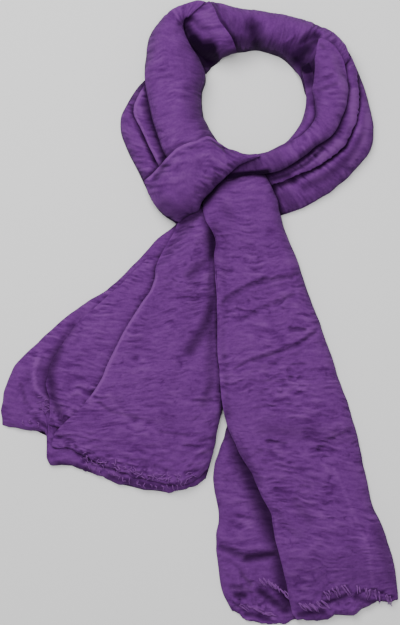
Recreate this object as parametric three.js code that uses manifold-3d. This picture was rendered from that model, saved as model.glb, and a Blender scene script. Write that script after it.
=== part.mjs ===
// A plain crinkled gauze scarf, wound into a loop, tied with one band and laid flat on a table.
// Millimetres, +X to the right, +Y towards the top of the loop, +Z off the table, table at z = 0.
import * as THREE from "three";
import { mergeVertices } from "three/addons/utils/BufferGeometryUtils.js";
import Module from "manifold-3d";

const wasm = await Module();
wasm.setup();

// Driving dimensions of the cloth
const wall = 2.4; // cloth at an edge
const nose = 0.2; // height of an edge's outermost line over what it lies on
const thinnest = 3; // two plies, where one layer only just covers another
const gap = 0.3; // between layers that lie on each other
const ringStep = 15; // between sections along a stretch
const edgeRound = 9; // how far a free end takes to reach its full height
const firstRing = 2.7; // from a free end to the section next to it
const hemReach = 70; // how far from a hem its outline starts to wander from a straight line
const middleOfPlan = [-0.45, 0.45]; // of the whole scarf, before it is centred

// Fringe of loose threads along the four hems
const stripWidth = 2;
const stripHeight = 1.6;
const threadRadius = 0.75;
const threadLength = 8;
const threadPitch = 2.5;
const threadLean = 0.35; // most that a thread leans, sideways over forwards
const threadUneven = 0.2; // share of its length by which a thread is shorter or stays the same
const threadReach = 6; // how far to each side a thread has to clear what lies there

const stepsPerStation = 12; // for the length along a stretch
const slopeStep = 0.2; // stations to each side, for the direction of a stretch
const sameCorner = 1e-4; // corners closer than this are one

const cloth = { colour: 0x6c4183, roughness: 0.92, metalness: 0 };

// The heap: the height of all cloth laid so far, on a square grid of cells
const cell = 0.5;
const nearby = 0.25;
const sampleStep = 0.5;
const reachX = 216;
const reachY = 330;
const cellsX = Math.ceil((2 * reachX) / cell);
const cellsY = Math.ceil((2 * reachY) / cell);
const heap = new Float32Array(cellsX * cellsY);

const cellOf = (x, y) => [Math.floor((x + reachX) / cell), Math.floor((y + reachY) / cell)];

function heapAt(x, y) {
  const [i, j] = cellOf(x, y);
  return heap[j * cellsX + i];
}

// Raises the cell under a point and the cells that it comes near
function raiseHeap(x, y, z) {
  for (const stepX of [-nearby, nearby]) {
    for (const stepY of [-nearby, nearby]) {
      const [i, j] = cellOf(x + stepX, y + stepY);
      heap[j * cellsX + i] = Math.max(heap[j * cellsX + i], z);
    }
  }
}

// How often a quad with the corners a, b and c, d is sampled along and across
function samplesOf(a, b, c, d) {
  const reach = (p, q, r, s) => Math.max(Math.hypot(p.x - q.x, p.y - q.y), Math.hypot(r.x - s.x, r.y - s.y));
  return [reach(a, c, b, d), reach(a, b, c, d)].map((length) => 1 + Math.ceil(length / sampleStep));
}

const mix = (a, b, t) => a + (b - a) * t;

// A row of numbers becomes an object with the columns' names
const table = (columns, rows) =>
  rows.map((row) => Object.fromEntries(columns.map((column, i) => [column, row[i]])));

// One row per station: both edges of the stretch and the height of its crest
const stations = (rows) => table(["leftX", "leftY", "rightX", "rightY", "crest"], rows);

// A free hem: at a share of the width, how far it hangs beyond the last station
const hemLine = (rows) => table(["across", "beyond"], rows);

// Long creases: a straight trough or, where depth is negative, a ridge
const creases = (rows) => table(["fromX", "fromY", "toX", "toY", "depth", "width"], rows);

// Smooth value through the stations; s counts stations
function through(list, key, s) {
  const i = Math.min(Math.floor(s), list.length - 2);
  const t = s - i;
  const at = (n) => list[Math.min(Math.max(n, 0), list.length - 1)][key];
  const [a, b, c, d] = [at(i - 1), at(i), at(i + 1), at(i + 2)];
  return b + 0.5 * t * (c - a + t * (2 * a - 5 * b + 4 * c - d + t * (3 * (b - c) + d - a)));
}

function hemAt(hem, across) {
  const i = Math.max(1, hem.findIndex((point) => point.across >= across));
  const [a, b] = [hem[i - 1], hem[i]];
  return mix(a.beyond, b.beyond, (across - a.across) / (b.across - a.across));
}

function creaseDepth(list, x, y) {
  let total = 0;
  for (const { fromX, fromY, toX, toY, depth, width } of list) {
    const [dx, dy] = [toX - fromX, toY - fromY];
    const t = Math.min(1, Math.max(0, ((x - fromX) * dx + (y - fromY) * dy) / (dx * dx + dy * dy)));
    const away = Math.hypot(x - fromX - t * dx, y - fromY - t * dy) / width;
    total += depth * Math.exp(-away * away);
  }
  return total;
}

// Sections of a stretch: plan points from edge to edge, the crest, and how far the end has risen
function sectionsOf({ rows, hem = null, columns = 10, even = 0.45, round = [1, 1] }) {
  const last = rows.length - 1;
  const middle = (s) => [
    0.5 * (through(rows, "leftX", s) + through(rows, "rightX", s)),
    0.5 * (through(rows, "leftY", s) + through(rows, "rightY", s)),
  ];
  const travelled = [0];
  for (let i = 1; i <= stepsPerStation * last; i++) {
    const [a, b] = [middle((i - 1) / stepsPerStation), middle(i / stepsPerStation)];
    travelled.push(travelled[i - 1] + Math.hypot(b[0] - a[0], b[1] - a[1]));
  }
  const whole = travelled[travelled.length - 1];
  const steps = Math.round((whole - 2 * edgeRound) / ringStep);
  const distances = [0, firstRing];
  for (let i = 0; i <= steps; i++) {
    distances.push(mix(edgeRound, whole - edgeRound, i / steps));
  }
  distances.push(whole - firstRing, whole);
  return distances.map((distance) => {
    const i = travelled.findLastIndex((value, n) => value <= distance && n < travelled.length - 1);
    const s = (i + (distance - travelled[i]) / (travelled[i + 1] - travelled[i])) / stepsPerStation;
    const at = (key) => through(rows, key, s);
    const [ahead, behind] = [middle(Math.min(s + slopeStep, last)), middle(Math.max(s - slopeStep, 0))];
    let [outX, outY] = [at("rightY") - at("leftY"), at("leftX") - at("rightX")];
    const way = outX * (ahead[0] - behind[0]) + outY * (ahead[1] - behind[1]) < 0 ? -1 : 1;
    const size = way * Math.hypot(outX, outY);
    [outX, outY] = [outX / size, outY / size];
    const near = Math.min(1, Math.max(0, 1 - (whole - distance) / hemReach));
    const points = [];
    for (let k = 0; k <= columns; k++) {
      const u = mix(0.5 - 0.5 * Math.cos((Math.PI * k) / columns), k / columns, even);
      const beyond = hem ? hemAt(hem, u) * near * near * (3 - 2 * near) : 0;
      const x = mix(at("leftX"), at("rightX"), u) + outX * beyond;
      const y = mix(at("leftY"), at("rightY"), u) + outY * beyond;
      points.push({ u, x, y });
    }
    const fromEnd = [distance, whole - distance].map((value, end) =>
      round[end] ? Math.min(1, value / edgeRound) : 1);
    const risen = Math.sqrt(1 - (1 - fromEnd[0]) ** 2) * Math.sqrt(1 - (1 - fromEnd[1]) ** 2);
    return { points, crest: at("crest"), risen, out: [outX, outY] };
  });
}

// Lays one stretch on the heap: its underside clears all that lies there, its top is rounded
// off to both edges, and troughs are pressed into it
function layStretch(name, options) {
  const { crown = 3, troughs = [] } = options;
  const sections = sectionsOf(options);
  const columns = sections[0].points.length - 1;
  for (const point of sections.flatMap(({ points }) => points)) {
    point.under = 0;
  }
  for (let r = 0; r + 1 < sections.length; r++) {
    for (let k = 0; k < columns; k++) {
      const [a, b] = [sections[r].points[k], sections[r].points[k + 1]];
      const [c, d] = [sections[r + 1].points[k], sections[r + 1].points[k + 1]];
      const [n, m] = samplesOf(a, b, c, d);
      let highest = 0;
      for (let i = 0; i <= n; i++) {
        for (let j = 0; j <= m; j++) {
          const x = mix(mix(a.x, b.x, j / m), mix(c.x, d.x, j / m), i / n);
          const y = mix(mix(a.y, b.y, j / m), mix(c.y, d.y, j / m), i / n);
          highest = Math.max(highest, heapAt(x, y));
        }
      }
      for (const point of highest > 0 ? [a, b, c, d] : []) {
        point.under = Math.max(point.under, highest + gap);
      }
    }
  }
  const positions = [];
  for (const { points, crest, risen } of sections) {
    points.forEach((point, k) => {
      const edge = k === 0 || k === columns;
      const bulge = Math.sqrt(Math.max(0, 1 - Math.abs(2 * point.u - 1) ** crown)) * risen;
      const height = crest - point.under - creaseDepth(troughs, point.x, point.y);
      const rise = Math.max(mix(wall, thinnest, bulge), height * bulge);
      point.top = point.under + (edge ? nose : rise);
      positions.push(point.x, point.y, point.top);
    });
    for (let k = columns - 1; k > 0; k--) {
      positions.push(points[k].x, points[k].y, points[k].under);
    }
  }
  const fringe = options.fringe ? fringeOf(sections, options.fringe) : null;
  stampSections(sections);
  addMesh(name, ringSolid(positions, sections.length, 2 * columns));
  if (fringe) {
    addMesh(name.replace("tail", "fringe"), fringe.geometry);
    for (const { x, y, z } of fringe.tops) {
      raiseHeap(x, y, z);
    }
  }
}

// Triangles of a closed tube of rings, with a strip of quads over each end
function ringSolid(positions, rings, round) {
  const index = [];
  for (let r = 0; r + 1 < rings; r++) {
    for (let k = 0; k < round; k++) {
      const [a, b] = [r * round + k, r * round + ((k + 1) % round)];
      index.push(a, b, a + round, b, b + round, a + round);
    }
  }
  for (const [start, flip] of [[0, false], [(rings - 1) * round, true]]) {
    for (let k = 0; k < round / 2; k++) {
      const quad = [k, k + 1, round - k - 1, (round - k) % round].map((n) => start + n);
      const [a, b, c, d] = flip ? quad : [quad[3], quad[2], quad[1], quad[0]];
      if (b !== c) index.push(a, b, c);
      if (a !== d && c !== d) index.push(a, c, d);
    }
  }
  const geometry = new THREE.BufferGeometry();
  geometry.setAttribute("position", new THREE.Float32BufferAttribute(positions, 3));
  geometry.setIndex(index);
  return turnOutwards(geometry);
}

function turnOutwards(geometry) {
  const [p, index] = [geometry.attributes.position, geometry.index.array];
  const [a, b, c] = [new THREE.Vector3(), new THREE.Vector3(), new THREE.Vector3()];
  let volume = 0;
  for (let i = 0; i < index.length; i += 3) {
    a.fromBufferAttribute(p, index[i]);
    b.fromBufferAttribute(p, index[i + 1]);
    c.fromBufferAttribute(p, index[i + 2]);
    volume += a.dot(b.cross(c));
  }
  if (volume < 0) geometry.setIndex(Array.from(index).reverse());
  return geometry;
}

// Adds the top of a laid stretch to the heap
function stampSections(sections) {
  for (let r = 0; r + 1 < sections.length; r++) {
    for (let k = 0; k + 1 < sections[r].points.length; k++) {
      const [a, b] = [sections[r].points[k], sections[r].points[k + 1]];
      const [c, d] = [sections[r + 1].points[k], sections[r + 1].points[k + 1]];
      const [n, m] = samplesOf(a, b, c, d);
      for (let i = 0; i <= n; i++) {
        for (let j = 0; j <= m; j++) {
          const [s, t] = [i / n, j / m];
          const x = mix(mix(a.x, b.x, t), mix(c.x, d.x, t), s);
          const y = mix(mix(a.y, b.y, t), mix(c.y, d.y, t), s);
          // the higher of the two ways to split the quad in triangles
          const one = s + t < 1
            ? a.top + t * (b.top - a.top) + s * (c.top - a.top)
            : d.top + (1 - t) * (c.top - d.top) + (1 - s) * (b.top - d.top);
          const two = s > t
            ? a.top + s * (c.top - a.top) + t * (d.top - c.top)
            : a.top + t * (b.top - a.top) + s * (d.top - b.top);
          raiseHeap(x, y, Math.max(one, two));
        }
      }
    }
  }
}

const group = new THREE.Group();

function addMesh(name, geometry) {
  geometry.translate(-middleOfPlan[0], -middleOfPlan[1], 0);
  geometry.computeVertexNormals();
  const material = new THREE.MeshStandardMaterial({
    color: cloth.colour, roughness: cloth.roughness, metalness: cloth.metalness,
  });
  const mesh = new THREE.Mesh(geometry, material);
  mesh.name = name;
  group.add(mesh);
}

function toSolid(geometry) {
  const merged = mergeVertices(geometry, sameCorner);
  return new wasm.Manifold(new wasm.Mesh({
    numProp: 3,
    vertProperties: new Float32Array(merged.attributes.position.array),
    triVerts: new Uint32Array(merged.index.array),
  }));
}

function toGeometry(solid) {
  const { vertProperties, triVerts } = solid.getMesh();
  const geometry = new THREE.BufferGeometry();
  geometry.setAttribute("position", new THREE.Float32BufferAttribute(vertProperties, 3));
  geometry.setIndex(Array.from(triVerts));
  return geometry;
}

// Even spread between -1 and 1 that repeats each run
const scatter = (n) => 2 * ((n * 0.6180339887) % 1) - 1;

// A narrow strip just past a hem, from one share of its width to another, with loose threads.
// It lies as high as the hem's underside, and clear of all that lies there already.
function fringeOf(sections, { from, to, length = threadLength }) {
  const last = sections[sections.length - 1];
  const hem = last.points.filter(({ u }) => u >= from && u <= to);
  const [outX, outY] = last.out;
  const floorOf = ({ x, y, under }) => {
    let highest = 0;
    for (let along = -threadReach; along <= threadReach; along++) {
      for (let out = 0; out <= length + 2 * stripWidth; out++) {
        highest = Math.max(highest, heapAt(x + outX * out - outY * along, y + outY * out + outX * along));
      }
    }
    return Math.max(under, highest) + gap;
  };
  const floors = hem.map(floorOf);
  const positions = [];
  hem.forEach(({ x, y }, i) => {
    for (const [out, up] of [[0, 0], [stripWidth, 0], [stripWidth, stripHeight], [0, stripHeight]]) {
      positions.push(x + outX * (gap + out), y + outY * (gap + out), floors[i] + up);
    }
  });
  let solid = toSolid(ringSolid(positions, hem.length, 4));
  let count = 0;
  const tops = [];
  for (let i = 0; i + 1 < hem.length; i++) {
    const [a, b] = [hem[i], hem[i + 1]];
    const pieces = Math.max(1, Math.round(Math.hypot(b.x - a.x, b.y - a.y) / threadPitch));
    for (let j = 0; j < pieces; j++) {
      const t = (j + 0.5) / pieces;
      const lean = threadLean * scatter(count * 3 + 1);
      const reach = length * (1 - threadUneven * (1 - scatter(count * 5 + 2)));
      const floor = mix(floors[i], floors[i + 1], t);
      const [wayX, wayY] = [outX - lean * outY, outY + lean * outX];
      const out = gap + 0.5 * stripWidth;
      const root = [mix(a.x, b.x, t) + outX * out, mix(a.y, b.y, t) + outY * out, floor + 0.5 * stripHeight];
      const tip = [root[0] + wayX * reach, root[1] + wayY * reach, floor + 0.3 * stripHeight];
      solid = solid.add(toSolid(thread(root, tip, [wayX, wayY])));
      tops.push({ x: root[0], y: root[1], z: floor + stripHeight });
      tops.push({ x: tip[0], y: tip[1], z: floor + stripHeight });
      count += 1;
    }
  }
  return { geometry: toGeometry(solid), tops };
}

// A three-sided thread that tapers from its root to a point
function thread(root, tip, way) {
  const side = [-way[1] * threadRadius, way[0] * threadRadius];
  const low = root[2] - 0.5 * threadRadius;
  const positions = [
    root[0] + side[0], root[1] + side[1], low,
    root[0] - side[0], root[1] - side[1], low,
    root[0], root[1], root[2] + threadRadius,
    tip[0], tip[1], tip[2],
  ];
  const geometry = new THREE.BufferGeometry();
  geometry.setAttribute("position", new THREE.Float32BufferAttribute(positions, 3));
  geometry.setIndex([0, 2, 1, 0, 1, 3, 1, 2, 3, 2, 0, 3]);
  return turnOutwards(geometry);
}

// Left tail: the widest layer, on the table
layStretch("tail_left_back", {
  rows: stations([
    [-10, 106, 14, 111, 7],
    [-22, 88, 17, 90, 9],
    [-41, 74, 19, 67, 10],
    [-54, 60, 19, 44, 10],
    [-78, 36, 20, 20, 10],
    [-94, 22, 20, -6, 11],
    [-112, 11, 21, -32, 11],
    [-132, -3, 21, -56, 11],
    [-159, -27, 21, -80, 11],
    [-180, -48, 20, -100, 11],
    [-190, -65, 17, -116, 11],
    [-195, -82, 15, -132, 11],
    [-198, -98, 11, -148, 10],
    [-197, -112, 6, -164, 9],
  ]),
  hem: hemLine([
    [0, 0], [0.09, -2], [0.17, -3], [0.205, 0], [0.24, 22], [0.28, 24], [0.36, 21], [0.47, 22],
    [0.585, 27], [0.67, 25], [0.75, 25], [0.85, 22], [0.92, 15], [0.97, 9], [1, 0],
  ]),
  columns: 18,
  even: 0.8,
  crown: 14,
  fringe: { from: 0.02, to: 0.2, length: 4 },
});

// Right tail: the layer below, on the table
layStretch("tail_right_back", {
  rows: stations([
    [26, -108, 62, -112, 6],
    [24, -134, 75, -138, 9],
    [14, -156, 86, -162, 10],
    [16, -178, 95, -184, 10],
    [19, -201, 103, -206, 10],
    [17, -225, 108, -229, 10],
    [20, -251, 112, -252, 10],
    [24, -274, 116, -272, 9],
    [31, -291, 118, -286, 8],
  ]),
  hem: hemLine([[0, 0], [0.15, 9], [0.4, 14], [0.6, 14], [0.75, 9], [1, 0]]),
  columns: 9,
  crown: 8,
  fringe: { from: 0.08, to: 0.8, length: 5 },
});

// Loop, right side: three folded bands on each other, from the table up
layStretch("loop_right_outer", {
  rows: stations([
    [98, 251, 132, 278, 12],
    [106, 235, 146, 259, 20],
    [110, 219, 157, 233, 25],
    [110, 203, 167, 205, 26],
    [107, 189, 172, 184, 26],
    [100, 177, 169, 164, 25],
    [90, 167, 151, 139, 23],
    [76, 158, 125, 117, 20],
    [62, 151, 99, 103, 17],
    [46, 143, 73, 96, 14],
    [28, 135, 48, 99, 11],
  ]),
  crown: 3.2,
});
layStretch("loop_right_middle", {
  rows: stations([
    [102, 243, 141, 260, 24],
    [108, 229, 150, 244, 30],
    [110, 215, 157, 222, 35],
    [110, 200, 157, 198, 37],
    [107, 187, 150, 175, 37],
    [99, 175, 138, 158, 34],
    [89, 164, 117, 143, 31],
    [76, 156, 98, 136, 27],
    [62, 149, 75, 126, 23],
    [46, 142, 56, 119, 19],
    [30, 136, 36, 117, 16],
  ]),
  columns: 8,
  crown: 3.2,
});

// Loop, left side: two folds that stand out below the roll
layStretch("loop_left_outer_fold", {
  rows: stations([
    [-20, 245, -40, 249, 12],
    [-22, 230, -51, 237, 20],
    [-24, 213, -63, 224, 23],
    [-26, 199, -72, 209, 24],
    [-28, 185, -78, 196, 25],
    [-28, 171, -79, 181, 25],
    [-24, 157, -71, 161, 25],
    [-18, 143, -61, 141, 24],
    [-10, 129, -51, 120, 23],
    [-1, 117, -39, 101, 20],
    [8, 107, -23, 87, 16],
  ]),
  columns: 8,
  crown: 2.6,
});
layStretch("loop_left_inner_fold", {
  rows: stations([
    [-20, 236, -46, 240, 24],
    [-21, 222, -55, 227, 28],
    [-22, 207, -64, 211, 30],
    [-23, 191, -68, 197, 32],
    [-22, 175, -60, 181, 33],
    [-17, 160, -51, 161, 33],
    [-9, 146, -42, 142, 32],
    [0, 134, -32, 126, 29],
  ]),
  columns: 8,
  crown: 2.6,
});

// Loop, behind the neck, then the folds that turn into the hollow
layStretch("loop_back", {
  rows: stations([
    [14, 260, 0, 308, 34],
    [30, 261, 20, 307, 41],
    [43, 263, 40, 303, 46],
    [60, 263, 64, 298, 48],
    [78, 257, 90, 294, 48],
    [92, 245, 112, 288, 46],
    [101, 230, 129, 278, 43],
    [103, 216, 142, 264, 40],
    [103, 203, 144, 248, 40],
  ]),
  crown: 2.6,
  round: [0, 1],
  troughs: creases([
    [54, 294, 56, 268, 6, 9],
    [92, 270, 100, 234, 8, 10],
  ]),
});
layStretch("loop_right_inner_end", {
  rows: stations([
    [100, 212, 111, 214, 30],
    [103, 202, 115, 198, 36],
    [101, 190, 113, 186, 38],
    [94, 178, 105, 172, 38],
    [85, 168, 95, 160, 36],
    [75, 162, 84, 152, 32],
  ]),
  columns: 6,
  crown: 2.4,
});
layStretch("loop_inner_fold", {
  rows: stations([
    [-30, 295, 11, 310, 36],
    [-22, 287, 19, 299, 46],
    [-14, 277, 27, 286, 45],
    [-6, 266, 34, 273, 38],
    [1, 255, 39, 262, 24],
    [4, 246, 30, 260, 11],
    [5, 237, 13, 246, 7],
  ]),
  columns: 8,
  crown: 2.4,
});

// Left tail: the pleat and the front layer, each on the one below
layStretch("tail_left_middle", {
  rows: stations([
    [-50, 56, -20, 50, 16],
    [-88, 19, -35, 12, 18],
    [-118, -7, -50, -18, 18],
    [-134, -28, -62, -43, 18],
    [-148, -50, -72, -66, 18],
    [-154, -72, -82, -90, 17],
    [-150, -90, -92, -112, 16],
    [-152, -112, -100, -132, 14],
  ]),
  columns: 8,
  crown: 5,
});
layStretch("tail_left_front", {
  rows: stations([
    [-14, 104, 15, 106, 27],
    [-26, 80, 17, 84, 27],
    [-42, 50, 19, 60, 26],
    [-48, 26, 19, 32, 25],
    [-62, 4, 20, 8, 24],
    [-78, -24, 20, -18, 24],
    [-91, -49, 21, -44, 23],
    [-102, -73, 21, -70, 22],
    [-118, -93, 21, -90, 22],
    [-136, -112, 18, -112, 21],
    [-147, -128, 14, -132, 19],
    [-147, -138, 8, -150, 16],
  ]),
  hem: hemLine([[0, 0], [0.15, 1], [0.3, 6], [0.5, 13], [0.7, 18], [0.8, 19], [0.9, 15], [1, 2]]),
  columns: 14,
  even: 0.7,
  crown: 7,
  fringe: { from: 0.05, to: 0.95, length: 5 },
  troughs: creases([
    [-8, 30, -30, -60, 3, 14],
    [-100, -100, -60, -140, 3, 16],
  ]),
});

// Right tail: from under the roll to the fringed hem
layStretch("tail_right_front", {
  rows: stations([
    [22, 140, 55, 146, 30],
    [10, 123, 67, 131, 33],
    [3, 108, 76, 113, 35],
    [6, 90, 81, 94, 33],
    [15, 71, 89, 72, 29],
    [14, 50, 98, 51, 26],
    [16, 22, 106, 24, 24],
    [17, -8, 117, -4, 23],
    [17, -38, 128, -34, 22],
    [19, -68, 138, -66, 21],
    [22, -94, 147, -90, 20],
    [29, -118, 155, -116, 19],
    [39, -140, 161, -143, 19],
    [51, -160, 166, -168, 18],
    [60, -181, 172, -192, 18],
    [70, -201, 181, -213, 17],
    [74, -224, 188, -232, 17],
    [81, -251, 193, -250, 16],
    [87, -274, 196, -270, 15],
    [91, -290, 197, -284, 13],
  ]),
  hem: hemLine([[0, 0], [0.1, 4], [0.3, 9], [0.45, 5], [0.6, 4], [0.7, 0], [0.8, -5], [0.93, -3], [1, 0]]),
  columns: 11,
  crown: 6,
  fringe: { from: 0.02, to: 0.98, length: 8 },
  troughs: creases([
    [24, 8, 50, 29, 4, 9],
    [50, 29, 92, 34, 4, 8],
    [43, -9, 92, 17, 3, 8],
    [38, -57, 82, -40, 4, 9],
    [82, -40, 114, -22, 3, 8],
    [60, -186, 100, -236, 3, 12],
  ]),
});

// The upper rolls of the loop, and the band that ties it
layStretch("loop_right_inner_roll", {
  rows: stations([
    [115, 269, 132, 271, 44],
    [115, 254, 141, 256, 50],
    [113, 237, 145, 232, 53],
    [110, 218, 146, 211, 54],
    [107, 204, 140, 191, 53],
    [102, 189, 129, 172, 52],
    [92, 173, 113, 161, 49],
    [80, 162, 99, 149, 46],
    [66, 155, 83, 140, 44],
    [52, 151, 65, 134, 43],
    [38, 147, 48, 127, 41],
  ]),
  columns: 8,
  crown: 2.4,
});
layStretch("loop_left_roll", {
  rows: stations([
    [-13, 289, -19, 299, 32],
    [-15, 277, -37, 289, 44],
    [-10, 263, -49, 273, 48],
    [-2, 249, -54, 253, 50],
    [3, 235, -54, 232, 51],
    [0, 217, -52, 213, 52],
    [0, 201, -47, 190, 52],
    [4, 186, -41, 171, 51],
    [11, 172, -33, 152, 49],
    [21, 160, -19, 135, 46],
    [31, 147, -2, 121, 44],
  ]),
  crown: 2.4,
});
layStretch("knot_wrap", {
  rows: stations([
    [-54, 131, -22, 89, 30],
    [-45, 139, -14, 94, 46],
    [-33, 150, -3, 98, 55],
    [-20, 161, 3, 109, 59],
    [-6, 166, 12, 118, 60],
    [8, 171, 21, 126, 60],
    [20, 165, 30, 137, 58],
    [33, 158, 44, 145, 55],
    [47, 154, 57, 151, 51],
  ]),
  columns: 11,
  crown: 2.8,
});

export default group;
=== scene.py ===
import math

import bpy
import numpy as np
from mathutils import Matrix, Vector


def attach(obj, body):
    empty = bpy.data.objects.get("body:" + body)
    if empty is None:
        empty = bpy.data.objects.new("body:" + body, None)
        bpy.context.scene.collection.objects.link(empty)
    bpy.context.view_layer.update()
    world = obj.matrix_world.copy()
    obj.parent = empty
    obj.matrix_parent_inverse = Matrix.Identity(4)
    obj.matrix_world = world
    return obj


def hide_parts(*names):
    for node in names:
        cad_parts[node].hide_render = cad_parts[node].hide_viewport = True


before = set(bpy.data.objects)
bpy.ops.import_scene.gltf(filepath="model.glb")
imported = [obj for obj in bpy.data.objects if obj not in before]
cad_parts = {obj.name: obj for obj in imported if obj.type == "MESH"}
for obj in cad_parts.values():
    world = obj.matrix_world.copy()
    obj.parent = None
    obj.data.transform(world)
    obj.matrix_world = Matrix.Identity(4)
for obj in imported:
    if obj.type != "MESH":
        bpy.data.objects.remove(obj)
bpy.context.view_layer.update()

# Plain crinkled gauze scarf. Tables are in millimetres on the table top, meshes in metres.
mm = 0.001
planShift = (0.45, -0.45, 0.0)  # mm, puts the middle of the footprint at the origin

view = {
    "lens": 135.0,  # mm, on a 36 mm sensor
    "sensor": 36.0,
    "frameHeight": 0.625,  # metres of table that the tall side of the picture takes in
    "elevation": 87.0,  # degrees, nearly straight down
    "aim": (0.00045, -0.0005, 0.0),
}


def makeCamera(spec):
    data = bpy.data.cameras.new("camera")
    data.lens = spec["lens"]
    data.sensor_width = spec["sensor"]
    camera = bpy.data.objects.new("camera", data)
    bpy.context.scene.collection.objects.link(camera)
    distance = spec["frameHeight"] * spec["lens"] / spec["sensor"]
    tilt = math.radians(spec["elevation"])
    aim = Vector(spec["aim"])
    camera.location = aim + distance * Vector((0.0, -math.cos(tilt), math.sin(tilt)))
    camera.rotation_euler = (aim - camera.location).to_track_quat("-Z", "Y").to_euler()
    bpy.context.scene.camera = camera


makeCamera(view)
print("camera set")

latticeSize = 256
tables = {}


# Value noise between -1 and 1: random numbers on a square lattice, blended with a smooth step
def noise(a, b, seed):
    if seed not in tables:
        tables[seed] = np.random.default_rng(seed).uniform(-1, 1, (latticeSize, latticeSize))
    table = tables[seed]
    i, j = np.floor(a).astype(int), np.floor(b).astype(int)
    s, t = a - i, b - j
    s, t = s * s * (3 - 2 * s), t * t * (3 - 2 * t)
    i0, i1, j0, j1 = (n % latticeSize for n in (i, i + 1, j, j + 1))
    low = table[i0, j0] * (1 - t) + table[i0, j1] * t
    high = table[i1, j0] * (1 - t) + table[i1, j1] * t
    return low * (1 - s) + high * s


# Crinkles run across the cloth: short ridges every 4 mm or so along it, in patches. Each kind of noise
# has its strength (mm, or a share for patch and where), and its size in mm along and across.
gauze = {
    "warp": (4.0, 38, 25), "wobble": (1.3, 11, 9),
    "ridge": (0.62, 2.0, 8.5), "band": (0.42, 3.4, 24.0), "grain": (0.26, 1.3, 3.5),
    "patch": (0.7, 23, 18), "patchMean": 0.62, "patchLimits": (0.15, 1.3),
    "line": (1.0, 4.2, 15.0), "lineDepth": 0.55, "lineWidth": 0.11,
    "where": (1.3, 17, 13), "whereMean": 0.2,
    "puff": (0.5, 9.0, 17.0), "swell": (1.3, 27.0, 34.0),
    "toneGain": 1.5, "toneLimits": (-1.4, 1.2),
}


# One kind of the gauze's noise: strength * noise at the size of that kind
def gauzeNoise(kind, along, across, seed):
    strength, alongSize, acrossSize = gauze[kind]
    return strength * noise(along / alongSize, across / acrossSize, seed)


# Height in mm: two stretched noises on a warped grid, stronger in patches, and a fine grain, less
# thin lines where a third one is near 0. Second value: the same from about -1 to 1, for the colour:
# painted shade in the valleys and painted highlight on the ridges.
def crinkle(along, across, seed, amount):
    warp = gauzeNoise("warp", along, across, seed + 1) + gauzeNoise("wobble", along, across, seed + 2)
    warped = along + warp
    ridge = gauzeNoise("ridge", warped, across, seed + 3)
    band = gauzeNoise("band", warped, across, seed + 4)
    patch = np.clip(gauze["patchMean"] + gauzeNoise("patch", along, across, seed + 5), *gauze["patchLimits"])
    grain = gauzeNoise("grain", warped, across, seed + 8)
    wavy = gauzeNoise("line", warped, across, seed + 9)
    where = np.clip(gauze["whereMean"] + gauzeNoise("where", along, across, seed + 10), 0, 1)
    line = gauze["lineDepth"] * where * np.exp(-(wavy / gauze["lineWidth"]) ** 2)
    shape = patch * (ridge + band) + grain - line
    return amount * shape, np.clip(gauze["toneGain"] * amount * shape, *gauze["toneLimits"])


# Height in mm of the larger puckers and swells, two stretched noises added up
def softWaves(along, across, seed):
    return gauzeNoise("puff", along, across, seed + 6) + gauzeNoise("swell", along, across, seed + 7)


# Low shoulders beside a trough: a share of its depth, but of no more than the limit in mm, and how
# many of its widths they lie away
shoulder = {"share": 0.22, "limit": 3.0, "away": 1.9}


# Six numbers a row: from x, y, to x, y, depth, width. A row of four goes on from the end of the last.
def fullRows(rows):
    full = []
    for row in rows:
        full.append([*full[-1][2:4], *row] if len(row) == 4 else row)
    return full


# Depth in mm: the deepest of the troughs, each depth * exp(-(distance / width)^2) with a low
# shoulder on both sides, less the highest of the ridges, which are the rows with a negative depth
def creaseDepth(rows, x, y):
    trough, beside, ridge = np.zeros_like(x), np.zeros_like(x), np.zeros_like(x)
    for fromX, fromY, toX, toY, depth, width in fullRows(rows):
        dx, dy = toX - fromX, toY - fromY
        t = np.clip(((x - fromX) * dx + (y - fromY) * dy) / (dx * dx + dy * dy), 0, 1)
        away = np.hypot(x - fromX - t * dx, y - fromY - t * dy) / width
        if depth > 0:
            trough = np.maximum(trough, depth * np.exp(-away ** 2))
            rise = min(depth, shoulder["limit"]) * shoulder["share"]
            beside = np.maximum(beside, rise * np.exp(-(away - shoulder["away"]) ** 2))
        else:
            ridge = np.maximum(ridge, -depth * np.exp(-away ** 2))
    return trough - beside - ridge


# Smooth step from 0 to 1
def smooth(t):
    t = np.clip(t, 0, 1)
    return t * t * (3 - 2 * t)


# The heap: the height of all cloth laid so far, one cell a millimetre
heapReach = (216, 330)
heap = np.zeros((2 * heapReach[1], 2 * heapReach[0]))


# Each cell that a point comes near takes the point's height if that is more
def raiseHeap(x, y, z):
    reach = 0.7  # mm
    for stepX in (-reach, reach):
        for stepY in (-reach, reach):
            i = np.floor(x + stepX + heapReach[0]).astype(int).ravel()
            j = np.floor(y + stepY + heapReach[1]).astype(int).ravel()
            np.maximum.at(heap, (j, i), z.ravel())


# Highest of a cell and its eight neighbours
def spread(z):
    z = np.maximum(z, np.maximum(np.roll(z, 1, 0), np.roll(z, -1, 0)))
    return np.maximum(z, np.maximum(np.roll(z, 1, 1), np.roll(z, -1, 1)))


# The grid after that many blurs, each the mean of a cell and its four neighbours
def softened(z, passes):
    for _ in range(passes):
        z = (z + np.roll(z, 1, 0) + np.roll(z, -1, 0) + np.roll(z, 1, 1) + np.roll(z, -1, 1)) / 5
    return z


# What a cloth lies on: the heap grown outwards and softened, never under the heap
def supportMap():
    z = heap
    for _ in range(4):
        z = spread(z)
    return np.maximum(softened(z, 9), spread(heap))


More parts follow.
